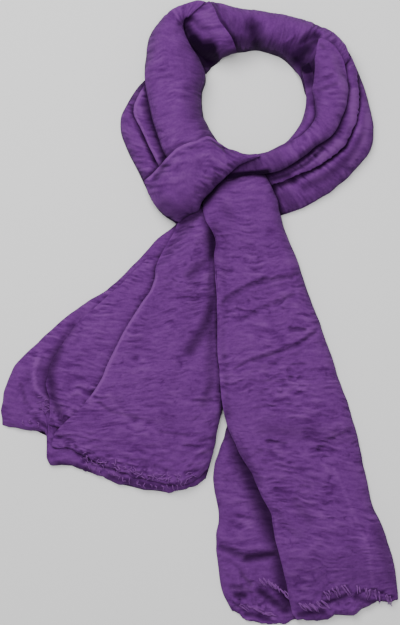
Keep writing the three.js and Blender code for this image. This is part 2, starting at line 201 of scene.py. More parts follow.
# Blend of the four cells round a point
def sample(grid, x, y):
    a, b = x + heapReach[0] - 0.5, y + heapReach[1] - 0.5
    i = np.clip(np.floor(a).astype(int), 0, grid.shape[1] - 2)
    j = np.clip(np.floor(b).astype(int), 0, grid.shape[0] - 2)
    s, t = a - i, b - j
    low = grid[j, i] * (1 - s) + grid[j, i + 1] * s
    high = grid[j + 1, i] * (1 - s) + grid[j + 1, i + 1] * s
    return low * (1 - t) + high * t


# A mesh from points in mm and a list of face arrays, moved to the shared frame in metres
def newObject(name, points, faces, material, uv, values):
    data = bpy.data.meshes.new(name)
    lists = [row for block in faces for row in block.tolist()]
    data.from_pydata(((points + planShift) * mm).tolist(), [], lists)
    layer = data.uv_layers.new(name="clothPlan")
    corners = np.empty(len(data.loops), dtype=np.int32)
    data.loops.foreach_get("vertex_index", corners)
    layer.data.foreach_set("uv", (uv[corners] * mm).astype(np.float32).ravel())
    for key, value in values.items():
        attribute = data.attributes.new(key, "FLOAT", "POINT")
        attribute.data.foreach_set("value", value.astype(np.float32))
    data.polygons.foreach_set("use_smooth", np.ones(len(data.polygons), dtype=bool))
    data.materials.append(material)
    data.update()
    piece = bpy.data.objects.new(name, data)
    bpy.context.scene.collection.objects.link(piece)
    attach(piece, "root")
    return piece


# Smooth curve through the rows, Catmull-Rom; s counts rows
def through(rows, s):
    last = len(rows) - 1
    i = np.clip(s.astype(int), 0, last - 1)
    t = (s - i)[:, None]
    a, b = rows[np.clip(i - 1, 0, last)], rows[i]
    c, d = rows[i + 1], rows[np.clip(i + 2, 0, last)]
    return b + 0.5 * t * (c - a + t * (2 * a - 5 * b + 4 * c - d + t * (3 * (b - c) + d - a)))


# Shares of the width, evenly spaced along the arc of the profile (1 - |x|^crown)^0.5, and its arc
def acrossSteps(crown, width, thick, pitch):
    angle = np.linspace(0, np.pi, 3001)
    turned = np.sign(np.cos(angle)) * np.abs(np.cos(angle)) ** (2 / crown)
    x = np.unique(np.concatenate([turned, np.linspace(-1, 1, 3001)]))
    z = np.sqrt(np.clip(1 - np.abs(x) ** crown, 0, 1))
    arc = np.concatenate([[0], np.cumsum(np.hypot(np.diff(x) * width / 2, np.diff(z) * thick))])
    groups = max(3, int(math.ceil(arc[-1] / pitch / 4)))
    return np.interp(np.linspace(0, arc[-1], 4 * groups + 1), arc, 0.5 + 0.5 * x), arc[-1]


# Quads round and along a closed tube of rings, and at both ends fans from the fine top row to
# the coarse bottom row
def ringFaces(rings, fine, groups):
    size = fine + groups - 1
    i = np.arange(rings - 1)[:, None] * size
    j = np.arange(size)[None, :]
    k = (j + 1) % size
    quads = np.stack([i + j, i + k, i + k + size, i + j + size], axis=-1).reshape(-1, 4)
    g = np.arange(groups)
    below = np.concatenate([[0], fine + groups - 2 - np.arange(groups - 1), [fine - 1]])
    fans = [np.stack([4 * g + n + 1, 4 * g + n, below[g]], axis=-1) for n in range(4)]
    fans.append(np.stack([4 * g + 4, below[g], below[g + 1]], axis=-1))
    cap = np.concatenate(fans)
    cap = cap[(cap[:, 0] != cap[:, 1]) & (cap[:, 1] != cap[:, 2]) & (cap[:, 0] != cap[:, 2])]
    return quads, cap, cap[:, ::-1] + (rings - 1) * size


# What a stretch has unless its own dictionary says otherwise, in mm where it is a length
usual = {
    "ringPitch": 0.95, "pitch": 1.5,  # between points along and across
    "plies": 3, "groove": 0.9, "steepFrom": 0.8,  # plies that show in the sides, and how deep between them
    "round": (9, 7),  # how far the two ends take to reach their full height
    "ragged": 0.5, "fray": 0.0,  # how far the edges wander, slowly and in short steps
    "waves": 1.0, "crinkle": [[0, 1.0]],
    "turn": 0.0,  # degrees that the crinkles run off straight across
    "hemReach": 70, "curl": 1.0, "hemPucker": 1.3, "drop": 3.5,
    "hollow": 0,  # wall of a hollow roll
    "troughs": (), "crumples": (), "frizz": (), "soft": (), "edgeHighlight": (),
    "lights": (), "shadows": (), "opened": (), "restsOn": (), "threads": (),
}

# The same for every stretch, in mm
body = {
    "bare": 0.15,  # less support than this is the bare table
    "gap": 0.2,  # air between two stretches
    "edge": 0.5,  # thickness of an edge
    "wall": 1.1, "middle": 1.2,  # what the thinnest cloth has beyond that, next to the edge and in the middle
    "blend": 1.2,  # how softly a hollow levels out on the thinnest cloth
    "least": 0.3,  # what the crinkles leave at the least
    "pocketDepth": 1.5, "strandHeight": 0.6,  # frayed cloth
}
planMiddle = 200  # mm, the middle line of each cloth's own plan, well inside the lattice
turnedStart = 300  # mm, added where the crinkles are turned, for the same reason
clothPieces = {}


# From 0 to 1 and back, between two distances along a stretch
def stretchOf(distance, start, stop, blend):
    return smooth((distance - start) / blend + 0.5) * smooth((stop - distance) / blend + 0.5)


# Quarter circle from 0 to 1 over the first part of a distance
def quarterRound(distance, reach):
    return np.sqrt(np.clip(1 - (1 - np.clip(distance / reach, 0, 1)) ** 2, 0, 1))


# Frayed cloth: where a net of curled yarns lies and how strongly, as pockets and as strands.
# Both come from where one noise is high, and where it is near 0.
def frayed(spec, x, y, u, toHem):
    frizz = np.zeros_like(x)
    for centreX, centreY, reach, amount in spec["frizz"]:
        frizz = np.maximum(frizz, amount * np.exp(-((x - centreX) ** 2 + (y - centreY) ** 2) / reach ** 2))
    if "hemFrizz" in spec:
        amount, inset, reach, start, stop = spec["hemFrizz"]
        within = smooth((u - start) / 0.1) * smooth((stop - u) / 0.1)
        frizz = np.maximum(frizz, amount * within * np.exp(-((toHem - inset) / reach) ** 2))
    net = noise(x / 2.5, y / 2.3, spec["seed"] + 19) + 0.6 * noise(x / 5.5, y / 4.2, spec["seed"] + 20)
    return frizz * smooth((net - 0.22) / 0.4), frizz * np.exp(-((net + 0.02) / 0.17) ** 2)


# Cloth between two edge lines. Top: support + (crest - support - creases) * (1 - |x|^crown)^0.5,
# rounded off to both ends, then moved along its own normal by the crinkles. Plies show as grooves
# in the sides. Underside: on the support, or a hollow roll's wall below its top.
def layStretch(spec):
    rows = np.array(spec["rows"], float)
    seed = spec["seed"]
    fineS = np.linspace(0, len(rows) - 1, 40 * (len(rows) - 1) + 1)
    fineRows = through(rows, fineS)
    lines = [0.5 * (fineRows[:, 0:2] + fineRows[:, 2:4]), fineRows[:, 0:2], fineRows[:, 2:4]]
    steps = [np.linalg.norm(np.diff(line, axis=0), axis=1) for line in lines]
    travelled = np.concatenate([[0], np.cumsum(0.6 * steps[0] + 0.4 * np.maximum(steps[1], steps[2]))])
    whole = travelled[-1]
    rings = int(whole / spec["ringPitch"]) + 2
    distance = np.linspace(0, whole, rings)
    values = through(rows, np.interp(distance, travelled, fineS))
    left, right, crest = values[:, 0:2], values[:, 2:4], values[:, 4]
    chord = right - left
    width = np.linalg.norm(chord, axis=1)
    out = np.stack([chord[:, 1], -chord[:, 0]], axis=1) / width[:, None]
    travel = np.gradient(0.5 * (left + right), axis=0)
    out *= np.where((out * travel).sum(axis=1) < 0, -1, 1)[:, None]
    u, arc = acrossSteps(spec["crown"], width.mean(), spec["thick"], spec["pitch"])
    side = chord / width[:, None]
    wander = [spec["ragged"] * noise(distance / 9, distance * 0 + 7 * k, seed + 11 + k)
              + spec["fray"] * noise(distance / 2.3, distance * 0 + 5 * k, seed + 21 + k) for k in (0, 1)]
    left = left + side * wander[0][:, None]
    right = right + side * wander[1][:, None]

    x = left[:, 0:1] * (1 - u) + right[:, 0:1] * u
    y = left[:, 1:2] * (1 - u) + right[:, 1:2] * u
    along = distance[:, None] + 0 * x
    across = (u - 0.5)[None, :] * width[:, None] + planMiddle
    toHem = whole - distance[:, None]
    if "hem" in spec:  # its outline, past the last row
        hem = np.array(spec["hem"], float)
        near = smooth(1 - toHem / spec["hemReach"])
        curl = noise(u * arc / 6, u * 0, seed + 13) + 0.6 * noise(u * arc / 2.6, u * 0, seed + 15)
        beyond = near * np.interp(u, hem[:, 0], hem[:, 1]) + np.exp(-toHem / 7) * (spec["curl"] * curl)
        x = x + out[:, 0:1] * beyond
        y = y + out[:, 1:2] * beyond
        along = along + beyond
    if "start" in spec:  # how far the first row bulges out backwards
        start = np.array(spec["start"], float)
        before = smooth(1 - distance / 30)[:, None] * np.interp(u, start[:, 0], start[:, 1])
        x = x - out[:, 0:1] * before
        y = y - out[:, 1:2] * before

    risen = quarterRound(distance, spec["round"][0]) * quarterRound(whole - distance, spec["round"][1])
    bulge = np.sqrt(np.clip(1 - np.abs(2 * u - 1) ** spec["crown"], 0, 1))[None, :] * risen[:, None]
    under = sample(supportMap(), x, y)
    under = np.where(under < body["bare"], 0, under + body["gap"])
    height = crest[:, None] - under - creaseDepth(spec["troughs"], x, y)
    height = height + spec["waves"] * softWaves(along, across, seed)
    for centreX, centreY, reach, amount in spec["crumples"]:  # small irregular puckers
        patch = np.exp(-((x - centreX) ** 2 + (y - centreY) ** 2) / reach ** 2)
        height = height + amount * patch * noise(along / 3.2, across / 4.6, seed + 16)
    if "hem" in spec:  # the free end puckers
        pucker = spec["hemPucker"] * np.exp(-toHem / 11)
        height = height + pucker * noise(along / 3.4, across / 3.8, seed + 14)
    if "ledge" in spec:  # a raw edge within the outline: the surface steps down past it
        line = np.array(spec["ledge"], float)
        below = np.interp(x, line[:, 0], line[:, 1]) + 1.2 * noise(x / 3.5, x * 0, seed + 17) - y
        height = height - spec["drop"] * smooth(below / 1.6 + 0.5)
    pocket, strand = frayed(spec, x, y, u, toHem)
    height = height - body["pocketDepth"] * pocket + body["strandHeight"] * strand
    fade = np.ones_like(x)  # where an edge runs out level with what it lies on
    acrossArc = np.linalg.norm(np.diff(np.stack([x, y]), axis=2), axis=0)
    fromLeft = np.concatenate([np.zeros((rings, 1)), np.cumsum(acrossArc, axis=1)], axis=1)
    fromSide = (fromLeft, fromLeft[:, -1:] - fromLeft)
    for edge, start, stop, reach in spec["soft"]:
        within = stretchOf(distance, start, stop, 14)
        fade = fade * (1 - within[:, None] * (1 - smooth(fromSide[edge] / reach)))
    wall = body["wall"] * fade * smooth(risen * 1.4)[:, None]
    thinnest = body["edge"] + wall + body["middle"] * bulge * fade
    rise = np.logaddexp(height * bulge * fade / body["blend"], thinnest / body["blend"]) * body["blend"]
    z = under + np.where(bulge > 0, rise, body["edge"])
    z[:, 0] = under[:, 0] + body["edge"]
    z[:, -1] = under[:, -1] + body["edge"]

    # grooves between the plies, in the steep sides only, that come and go
    share = bulge * spec["plies"]
    shown = (share > 0.5) & (share < spec["plies"] - 0.4)
    groove = np.exp(-((share - np.round(share)) / 0.13) ** 2) * shown
    steep = np.clip((np.abs(2 * u - 1) - spec["steepFrom"]) / 0.1, 0, 1)[None, :]
    comes = np.clip(0.4 + 1.2 * noise(along / 21, np.round(share) * 5.3, seed + 18), 0, 1)
    inwards = spec["groove"] * groove * steep * comes * np.sign(0.5 - u)[None, :]
    x = x + side[:, 0:1] * inwards
    y = y + side[:, 1:2] * inwards

    place = np.stack([x, y, z], axis=-1)
    normal = np.cross(np.gradient(place, axis=1), np.gradient(place, axis=0))
    normal *= np.where(normal[:, len(u) // 2, 2].mean() < 0, -1, 1)
    normal /= np.maximum(np.linalg.norm(normal, axis=-1, keepdims=True), 1e-9)
    amounts = np.array(spec["crinkle"], float)
    amount = np.interp(distance, amounts[:, 0], amounts[:, 1])[:, None]
    turn = math.radians(spec["turn"])
    off = across - planMiddle
    crinkleAlong = along * math.cos(turn) - off * math.sin(turn) + turnedStart * (turn != 0)
    crinkleAcross = along * math.sin(turn) + off * math.cos(turn) + planMiddle
    bump, tone = crinkle(crinkleAlong, crinkleAcross, seed, amount)
    rim = np.clip(np.minimum(u, 1 - u) * arc / 3, 0, 1)[None, :]
    place = place + normal * (bump * rim)[:, :, None]
    place[:, :, 2] = np.maximum(place[:, :, 2], under + body["least"])
    for edge, start, stop in spec["edgeHighlight"]:  # a painted highlight along an edge
        within = stretchOf(distance, start, stop, 8)
        tone = tone + 2.0 * within[:, None] * np.exp(-((fromSide[edge] - 1.6) / 1.3) ** 2)
    # Painted highlight on the frayed strands and along the lights rows, painted shade in the frayed pockets
    tone = tone + 1.1 * strand - 0.7 * pocket
    tone = tone + np.maximum(creaseDepth(spec["lights"], x, y), 0)

    # underside, every fourth column
    groups = (len(u) - 1) // 4
    pick = np.arange(groups - 1, 0, -1) * 4
    lower = place[:, pick].copy()
    lower[:, :, 2] = under[:, pick]
    if spec["hollow"]:
        lower[:, :, 2] = np.maximum(under[:, pick], place[:, pick, 2] - spec["hollow"])
    raiseHeap(place[:, :, 0], place[:, :, 1], place[:, :, 2])
    uv = np.stack([across, along], axis=-1)
    clothPieces[spec["name"]] = {
        "fine": len(u), "groups": groups,
        "ring": np.concatenate([place, lower], axis=1),
        "uv": np.concatenate([uv, uv[:, pick]], axis=1),
        "tone": np.concatenate([tone, tone[:, pick]], axis=1),
        "pocket": np.concatenate([pocket, pocket[:, pick]], axis=1),
    }
    print("laid", spec["name"], rings, "x", len(u))


# Painted shade from how deep a point lies below the cloth round it: height under the heap softened over 9 mm,
# and over 3 mm, each against a depth of its own; 0 in the open, 1 in a deep hollow
def hollowShade(points, wide, near):
    x, y, z = points[..., 0], points[..., 1], points[..., 2]
    broad = np.clip((sample(wide, x, y) - z - 0.6) / 15, 0, 1)
    tight = np.clip((sample(near, x, y) - z - 0.25) / 4.5, 0, 1)
    return 1 - (1 - broad) * (1 - 0.75 * tight)


# The closed mesh of a laid stretch. Its hollow attribute is painted shade: the largest of the hollow shade,
# the frayed pockets and the deep folds that no light reaches, and less of it where light gets in from the
# side.
def finishStretch(spec, material, wide, near):
    laid = clothPieces[spec["name"]]
    quads, start, end = ringFaces(len(laid["ring"]), laid["fine"], laid["groups"])
    points = laid["ring"].reshape(-1, 3)
    tris = np.concatenate([quads[:, [0, 1, 2]], quads[:, [0, 2, 3]], start, end])
    volume = np.einsum("ij,ij->i", points[tris[:, 0]], np.cross(points[tris[:, 1]], points[tris[:, 2]])).sum()
    faces = [quads, start, end] if volume > 0 else [quads[:, ::-1], start[:, ::-1], end[:, ::-1]]
    paintedShade = np.maximum(hollowShade(points, wide, near), 0.5 * laid["pocket"].ravel())
    for row in fullRows(spec["shadows"]):
        paintedShade = np.maximum(paintedShade, creaseDepth([row], points[:, 0], points[:, 1]))
    if spec["opened"]:
        paintedShade = paintedShade * np.clip(1 - creaseDepth(spec["opened"], points[:, 0], points[:, 1]), 0, 1)
    # ridge: painted shade and highlights in the colour; hollow: painted shade, towards near-black
    values = {"ridge": laid["tone"].ravel(), "hollow": np.clip(paintedShade, 0, 1)}
    print("meshed", spec["name"], "triangles", len(tris))
    return newObject(spec["name"], points, faces, material, laid["uv"].reshape(-1, 2), values)


# Tapered tubes in tufts, one tuft a root. A thread's path: root + way * t, bent by sines of t,
# sinking to what lies beneath; the threads of a tuft lean towards one tip.
def looseThreads(spec, roots, ways, ground, material):
    random = np.random.default_rng(spec["seed"])
    tufts, each, steps, sides = len(roots), spec["each"], 7, 4
    count = tufts * each
    tuft = np.repeat(np.arange(tufts), each)
    beside = np.stack([-ways[:, 1], ways[:, 0]], axis=1)
    lean = random.normal(0, spec["lean"], tufts)
    reach = spec["length"] * random.uniform(0.5, 1.2, tufts)
    offset = random.uniform(-1, 1, count) * spec["tuftWidth"]
    back = random.uniform(0.2, 1.4, count)
    start = roots[tuft, 0:2] + beside[tuft] * offset[:, None] - ways[tuft] * back[:, None]
    reaches = reach[tuft] * random.uniform(0.7, 1.1, count)
    tip = roots[tuft, 0:2] + (ways + beside * lean[:, None])[tuft] * reaches[:, None]
    tip = tip + random.normal(0, spec["loose"], (count, 2))
    t = np.linspace(0, 1, steps)[None, :]
    way = tip - start
    cross = np.stack([-way[:, 1], way[:, 0]], axis=1)
    bend = random.normal(0, spec["bend"], (count, 1)) * np.sin(3.0 * t)
    bend = bend + random.normal(0, spec["bend"] / 3, (count, 1)) * np.sin(9 * t)
    path = start[:, None, :] + way[:, None, :] * t[:, :, None] + cross[:, None, :] * bend[:, :, None]
    radius = spec["radius"] * random.uniform(0.75, 1.15, count)[:, None] * (1 - 0.5 * t ** 2)
    floor = sample(ground, path[:, :, 0], path[:, :, 1])
    lift = random.uniform(0.1, 1.0, (count, 1)) * np.sin(np.pi * np.clip(t * 0.9 + 0.1, 0, 1))
    rootZ = roots[tuft, 2][:, None]
    z = np.maximum(floor + 0.6 * radius, rootZ * (1 - t) + floor * t) + lift
    line = np.concatenate([path, z[:, :, None]], axis=-1)
    tangent = np.gradient(line, axis=1)
    tangent /= np.linalg.norm(tangent, axis=-1, keepdims=True)
    flat = np.stack([-tangent[..., 1], tangent[..., 0], np.zeros_like(tangent[..., 0])], axis=-1)
    flat /= np.maximum(np.linalg.norm(flat, axis=-1, keepdims=True), 1e-6)
    up = np.cross(tangent, flat)
    angle = (np.arange(sides) * 2 * np.pi / sides)[None, None, :, None]
    ring = (line[:, :, None, :] + radius[:, :, None, None]
            * (np.cos(angle) * flat[:, :, None, :] + np.sin(angle) * up[:, :, None, :]))
    ring[..., 2] = np.maximum(ring[..., 2], 0.12)
    base = (np.arange(count) * steps * sides)[:, None, None]
    i = (np.arange(steps - 1) * sides)[None, :, None]
    j = np.arange(sides)[None, None, :]
    k = (j + 1) % sides
    quads = np.stack([base + i + j, base + i + k, base + i + k + sides, base + i + j + sides], axis=-1)
    ends = base[:, :, 0] + np.array([[3, 2, 1, 0]])
    tips = base[:, :, 0] + (steps - 1) * sides + np.array([[0, 1, 2, 3]])
    points = ring.reshape(-1, 3)
    # Painted highlight: threads at the light end of the ramp; painted shade near their roots
    values = {"ridge": np.repeat(random.uniform(0.9, 2.4, count), steps * sides),
              "hollow": np.repeat((0.12 * (1 - t) ** 3 + 0 * radius).ravel(), sides)}
    print("threads", spec["name"], count)
    faces = [quads.reshape(-1, 4), ends, tips]
    return newObject(spec["name"], points, faces, material, np.zeros((len(points), 2)), values)


# hollow: the near-black of the painted shade; deep, middle, light: the ramp that the painted shade and
# highlights of the crinkles and the random blotches move along
purple = {
    "hollow": (0.010, 0.0015, 0.017, 1.0),
    "deep": (0.082, 0.0155, 0.128, 1.0),
    "middle": (0.132, 0.0315, 0.196, 1.0),
    "light": (0.188, 0.056, 0.262, 1.0),
    "roughness": 0.9,
    "sheen": 0.07,
    "weave": 0.0011,  # metres between two yarns
    "toneBase": 0.23, "ridgeTone": 0.26, "blotchTone": 0.24, "speckTone": 0.30,  # shares in the colour ramp
    "blotchScale": 22.0, "speckScale": 520.0, "fuzzScale": 1100.0,  # noise cells a metre
    "puckerScale": (140.0, 420.0, 1.0),
    "puckerBump": 3.2, "yarnBump": 0.7, "bumpStrength": 0.75,
    "bumpDepth": 0.00025,  # metres
}
# The loose threads: the same purple made lighter, a painted highlight
highlightedYarn = {**purple, "deep": (0.11, 0.025, 0.165, 1.0), "middle": (0.16, 0.042, 0.23, 1.0),
        "light": (0.23, 0.074, 0.31, 1.0)}


def node(tree, kind, place, **values):
    made = tree.nodes.new(kind)
    made.location = place
    for key, value in values.items():
        if key in made.inputs:
            made.inputs[key].default_value = value
        else:
            setattr(made, key, value)
    return made


# source * factor + addend, where the addend is a number or a socket
def scaledSum(tree, source, factor, addend, place):
    made = node(tree, "ShaderNodeMath", place, operation="MULTIPLY_ADD")
    tree.links.new(source, made.inputs[0])
    made.inputs[1].default_value = factor
    if isinstance(addend, float):
        made.inputs[2].default_value = addend
    else:
        tree.links.new(addend, made.inputs[2])
    return made.outputs[0]


# Colour: purple, with painted shade in the crinkles' valleys and painted highlights on their ridges by
# the ridge attribute, with soft random blotches, and painted shade, nearly black, in the hollows and deep
# folds by the hollow attribute. Bump: crinkles and two crossed waves of the weave in the cloth's own plan,
# and a fuzz.
def gauzeMaterial(name, spec, weave=True):
    material = bpy.data.materials.new(name)
    material.use_nodes = True
    tree = material.node_tree
    tree.nodes.clear()
    link = tree.links.new
    output = node(tree, "ShaderNodeOutputMaterial", (1100, 0))
    shader = node(tree, "ShaderNodeBsdfPrincipled", (820, 0))
    shader.inputs["Roughness"].default_value = spec["roughness"]
    shader.inputs["Sheen Weight"].default_value = spec["sheen"]
    shader.inputs["Sheen Roughness"].default_value = 0.5
    shader.inputs["Sheen Tint"].default_value = (0.6, 0.3, 0.8, 1.0)
    shader.inputs["Specular IOR Level"].default_value = 0.06
    place = node(tree, "ShaderNodeTexCoord", (-1100, 0))
    ridge = node(tree, "ShaderNodeAttribute", (-1100, 260), attribute_name="ridge")
    hollow = node(tree, "ShaderNodeAttribute", (-1100, 480), attribute_name="hollow")
    blotch = node(tree, "ShaderNodeTexNoise", (-840, 60), Scale=spec["blotchScale"], Detail=4.0)
    speck = node(tree, "ShaderNodeTexNoise", (-840, -180), Scale=spec["speckScale"], Detail=2.0)
    fuzz = node(tree, "ShaderNodeTexNoise", (-840, -420), Scale=spec["fuzzScale"], Detail=2.0)
    for pattern in (blotch, speck, fuzz):
        link(place.outputs["Object"], pattern.inputs["Vector"])
    tone = scaledSum(tree, ridge.outputs["Fac"], spec["ridgeTone"], spec["toneBase"], (-600, 220))
    tone = scaledSum(tree, blotch.outputs["Fac"], spec["blotchTone"], tone, (-420, 160))
    tone = scaledSum(tree, speck.outputs["Fac"], spec["speckTone"], tone, (-240, 80))
    ramp = node(tree, "ShaderNodeValToRGB", (0, 80))
    ramp.color_ramp.elements[0].position = 0.2
    ramp.color_ramp.elements[0].color = spec["deep"]
    ramp.color_ramp.elements[1].position = 0.85
    ramp.color_ramp.elements[1].color = spec["light"]
    ramp.color_ramp.elements.new(0.5).color = spec["middle"]
    link(tone, ramp.inputs["Fac"])
    shade = node(tree, "ShaderNodeMix", (420, 120), data_type="RGBA")
    link(hollow.outputs["Fac"], shade.inputs["Factor"])
    link(ramp.outputs["Color"], shade.inputs["A"])
    shade.inputs["B"].default_value = spec["hollow"]
    link(shade.outputs["Result"], shader.inputs["Base Color"])
    height = fuzz.outputs["Fac"]
    if weave:
        plan = node(tree, "ShaderNodeUVMap", (-1300, -620), uv_map="clothPlan")
        stretch = node(tree, "ShaderNodeMapping", (-1100, -620))
        stretch.inputs["Scale"].default_value = spec["puckerScale"]
        pucker = node(tree, "ShaderNodeTexNoise", (-840, -640), Scale=1.0, Detail=3.0)
        link(plan.outputs["UV"], stretch.inputs["Vector"])
        link(stretch.outputs["Vector"], pucker.inputs["Vector"])
        height = scaledSum(tree, pucker.outputs["Fac"], spec["puckerBump"], height, (-600, -540))
        for turn, direction in ((0, "X"), (1, "Y")):
            wave = node(tree, "ShaderNodeTexWave", (-840, -860 - 220 * turn), Distortion=2.5, Detail=1.0)
            wave.bands_direction = direction
            wave.inputs["Scale"].default_value = 0.314 / spec["weave"]
            wave.inputs["Detail Scale"].default_value = 1.5
            link(plan.outputs["UV"], wave.inputs["Vector"])
            height = scaledSum(tree, wave.outputs["Fac"], spec["yarnBump"], height, (-420, -600 - 200 * turn))
    bump = node(tree, "ShaderNodeBump", (580, -260), Strength=spec["bumpStrength"])
    bump.inputs["Distance"].default_value = spec["bumpDepth"]
    link(height, bump.inputs["Height"])
    link(bump.outputs["Normal"], shader.inputs["Normal"])
    link(shader.outputs["BSDF"], output.inputs["Surface"])
    return material


clothMaterial = gauzeMaterial("crinkledGauze", purple)
threadMaterial = gauzeMaterial("looseYarn", highlightedYarn, weave=False)
print("materials made")

# Stretches from the table up, each laid on the heap of those before it. Columns of the tables:
# rows: left edge x, y, right edge x, y, crest; hem and start: share of the width, mm beyond the row
# troughs: from x, y, to x, y, depth (a ridge where negative), width, or only the last four where a
# trough goes on from the one before; lights, shadows and opened: the same, with a strength for the
# depth; crumples and frizz: x, y, reach, amount; ledge: x, y of a raw edge, and drop its height
# crinkle: mm from the start, amount; soft: side (0 left), from, to, width; edgeHighlight, a painted highlight
# along an edge: side, from, to
# hemFrizz: amount, distance from the hem, reach, first and last share of the width

tailLeftBack = {
    "name": "gauzeTailLeftBack", "node": "tail_left_back", "held": "laid", "threads": ["yarnLeftBack"],
    "seed": 100, "crown": 14, "thick": 10, "plies": 2, "steepFrom": 0.96, "pitch": 1.8, "hemPucker": 1.6,
    "rows": [
        [-10, 106, 14, 111, 7], [-24, 88, 17, 90, 9], [-42, 74, 19, 67, 10], [-55, 60, 19, 44, 10],
        [-78, 36, 20, 20, 10], [-94, 22, 20, -6, 11], [-112, 11, 21, -32, 11], [-132, -3, 21, -56, 11],
        [-159, -27, 21, -80, 11], [-181, -48, 20, -100, 11], [-191, -65, 17, -116, 11],
        [-196, -82, 15, -132, 11], [-198, -98, 11, -148, 10], [-197, -112, 6, -164, 9],
    ],
    "hem": [
        [0, 1], [0.09, 0], [0.15, -2], [0.2, -3], [0.225, 2], [0.245, 22], [0.27, 27], [0.36, 23],
        [0.47, 24], [0.585, 28], [0.67, 27], [0.75, 27], [0.85, 24], [0.92, 17], [0.97, 10], [1, 1],
    ],
    "troughs": [
        [-172, -62, -180, -88, 2.6, 4], [-172, -112, 2, 5], [-160, -44, -166, -60, -5, 4],
        [-163, -78, -5, 4], [-148, -90, -4.5, 4], [-188, -84, -182, -104, -1.8, 6],
    ],
    "crumples": [[-150, -135, 22, 2.6], [-60, -165, 40, 1.8], [-165, -105, 16, 2]],
    "frizz": [[-160, -100, 11, 0.9], [-150, -112, 8, 0.9], [-112, -150, 14, 0.7]],
    "lights": [[-160, -42, -165, -60, 1.3, 2.2], [-163, -76, 1.6, 2], [-150, -88, 1.6, 1.8]],
    "shadows": [
        [-118, 0, -128, -14, 0.2, 5], [-126, -14, -142, -38, 0.42, 6], [-140, -36, -151, -58, 0.65, 6.5],
        [-153, -58, -151, -80, 0.6, 6.5], [-146, -100, 0.6, 5], [-178, -72, -173, -90, 0.4, 2.2],
        [-164, -106, -150, -116, 0.6, 2.6], [-140, -152, -110, -158, 0.7, 4],
        [-90, -164, -40, -174, 0.5, 4],
    ],
}

tailRightBack = {
    "name": "gauzeTailRightBack", "node": "tail_right_back", "held": "laid", "threads": ["yarnRightBack"],
    "seed": 200, "crown": 8, "thick": 10, "plies": 2, "steepFrom": 0.9, "hemPucker": 2.2, "hemReach": 40,
    "drop": 3.6,
    "rows": [
        [29, -108, 62, -112, 6], [20.5, -134, 75, -138, 9], [14, -156, 86, -162, 10],
        [14, -176, 95, -184, 10], [19, -201, 103, -206, 10], [16, -225, 108, -229, 10],
        [18, -251, 112, -252, 10], [22, -274, 116, -272, 9], [31, -291, 118, -286, 8],
    ],
    "hem": [[0, 5], [0.16, 15], [0.39, 21], [0.585, 22], [0.735, 17], [1, 10]],
    "troughs": [
        [22, -234, 46, -244, 4.5, 4], [74, -242, 5.5, 4.5], [34, -276, 46, -284, 5, 4.5],
        [36, -294, 60, -301, 4, 3.5], [28, -170, 40, -192, 1.8, 6], [44, -264, 62, -276, -2.2, 5],
        [30, -250, 44, -262, 2.4, 3.5],
    ],
    "ledge": [
        [20, -330], [37, -315], [41, -262], [50, -266], [59, -270], [71, -273], [88, -285], [120, -292],
    ],
    "crumples": [[40, -288, 14, 3], [28, -262, 10, 1.6], [60, -290, 18, 2]],
    "crinkle": [[0, 1.05]],
    "frizz": [[48, -268, 9, 0.7], [60, -296, 12, 0.7]],
    "lights": [
        [32, -275, 50, -276, 1.4, 1.8], [34, -293, 56, -293, 1.3, 1.6], [74, -304, 1.3, 1.6],
        [44, -262, 53, -273, 1.2, 1.6],
    ],
    "shadows": [
        [28, -112, 40, -142, 0.75, 9], [60, -184, 0.85, 12], [76, -224, 0.88, 13], [86, -290, 0.8, 10],
        [22, -234, 46, -244, 0.55, 3.5], [76, -240, 0.8, 5], [38, -202, 53, -205, 0.35, 2],
        [36, -280, 44, -281, 0.8, 4], [46, -299, 68, -304, 0.65, 3], [40, -258, 50, -270, 0.45, 2.4],
        [60, -277, 86, -296, 0.75, 5],
    ],
}

loopRightOuter = {
    "name": "gauzeLoopRightOuter", "node": "loop_right_outer", "held": "folded",
    "seed": 300, "crown": 3.2, "thick": 24,
    "rows": [
        [98, 251, 134, 280, 12], [106, 235, 150, 262, 20], [110, 219, 162, 234, 25],
        [110, 203, 171, 205, 26], [107, 189, 174, 184, 26], [100, 177, 171, 163, 25],
        [90, 167, 152, 139, 23], [76, 158, 125, 117, 20], [62, 151, 99, 103, 17], [46, 143, 73, 96, 14],
        [28, 135, 48, 99, 11],
    ],
    "troughs": [
        [158, 218, 154, 190, 3, 3.5], [143, 165, 3.4, 3.5], [118, 146, 3.6, 3.5], [92, 131, 3.2, 4],
        [72, 122, 2.6, 4], [163, 196, 152, 160, -1.6, 5], [118, 130, -1.8, 6],
    ],
    "shadows": [
        [163, 178, 159, 172, 0.2, 3.5], [153, 161, 0.36, 4], [144, 149, 0.42, 4.5], [127, 136, 0.5, 5],
        [104, 124, 0.5, 5], [82, 116, 92, 106, 0.4, 9], [92, 131, 70, 124, 0.8, 4],
    ],
    "lights": [[168, 196, 163, 168, 1.6, 4], [160, 184, 155, 174, 1.4, 2.5], [163, 168, 150, 148, 1, 4]],
}

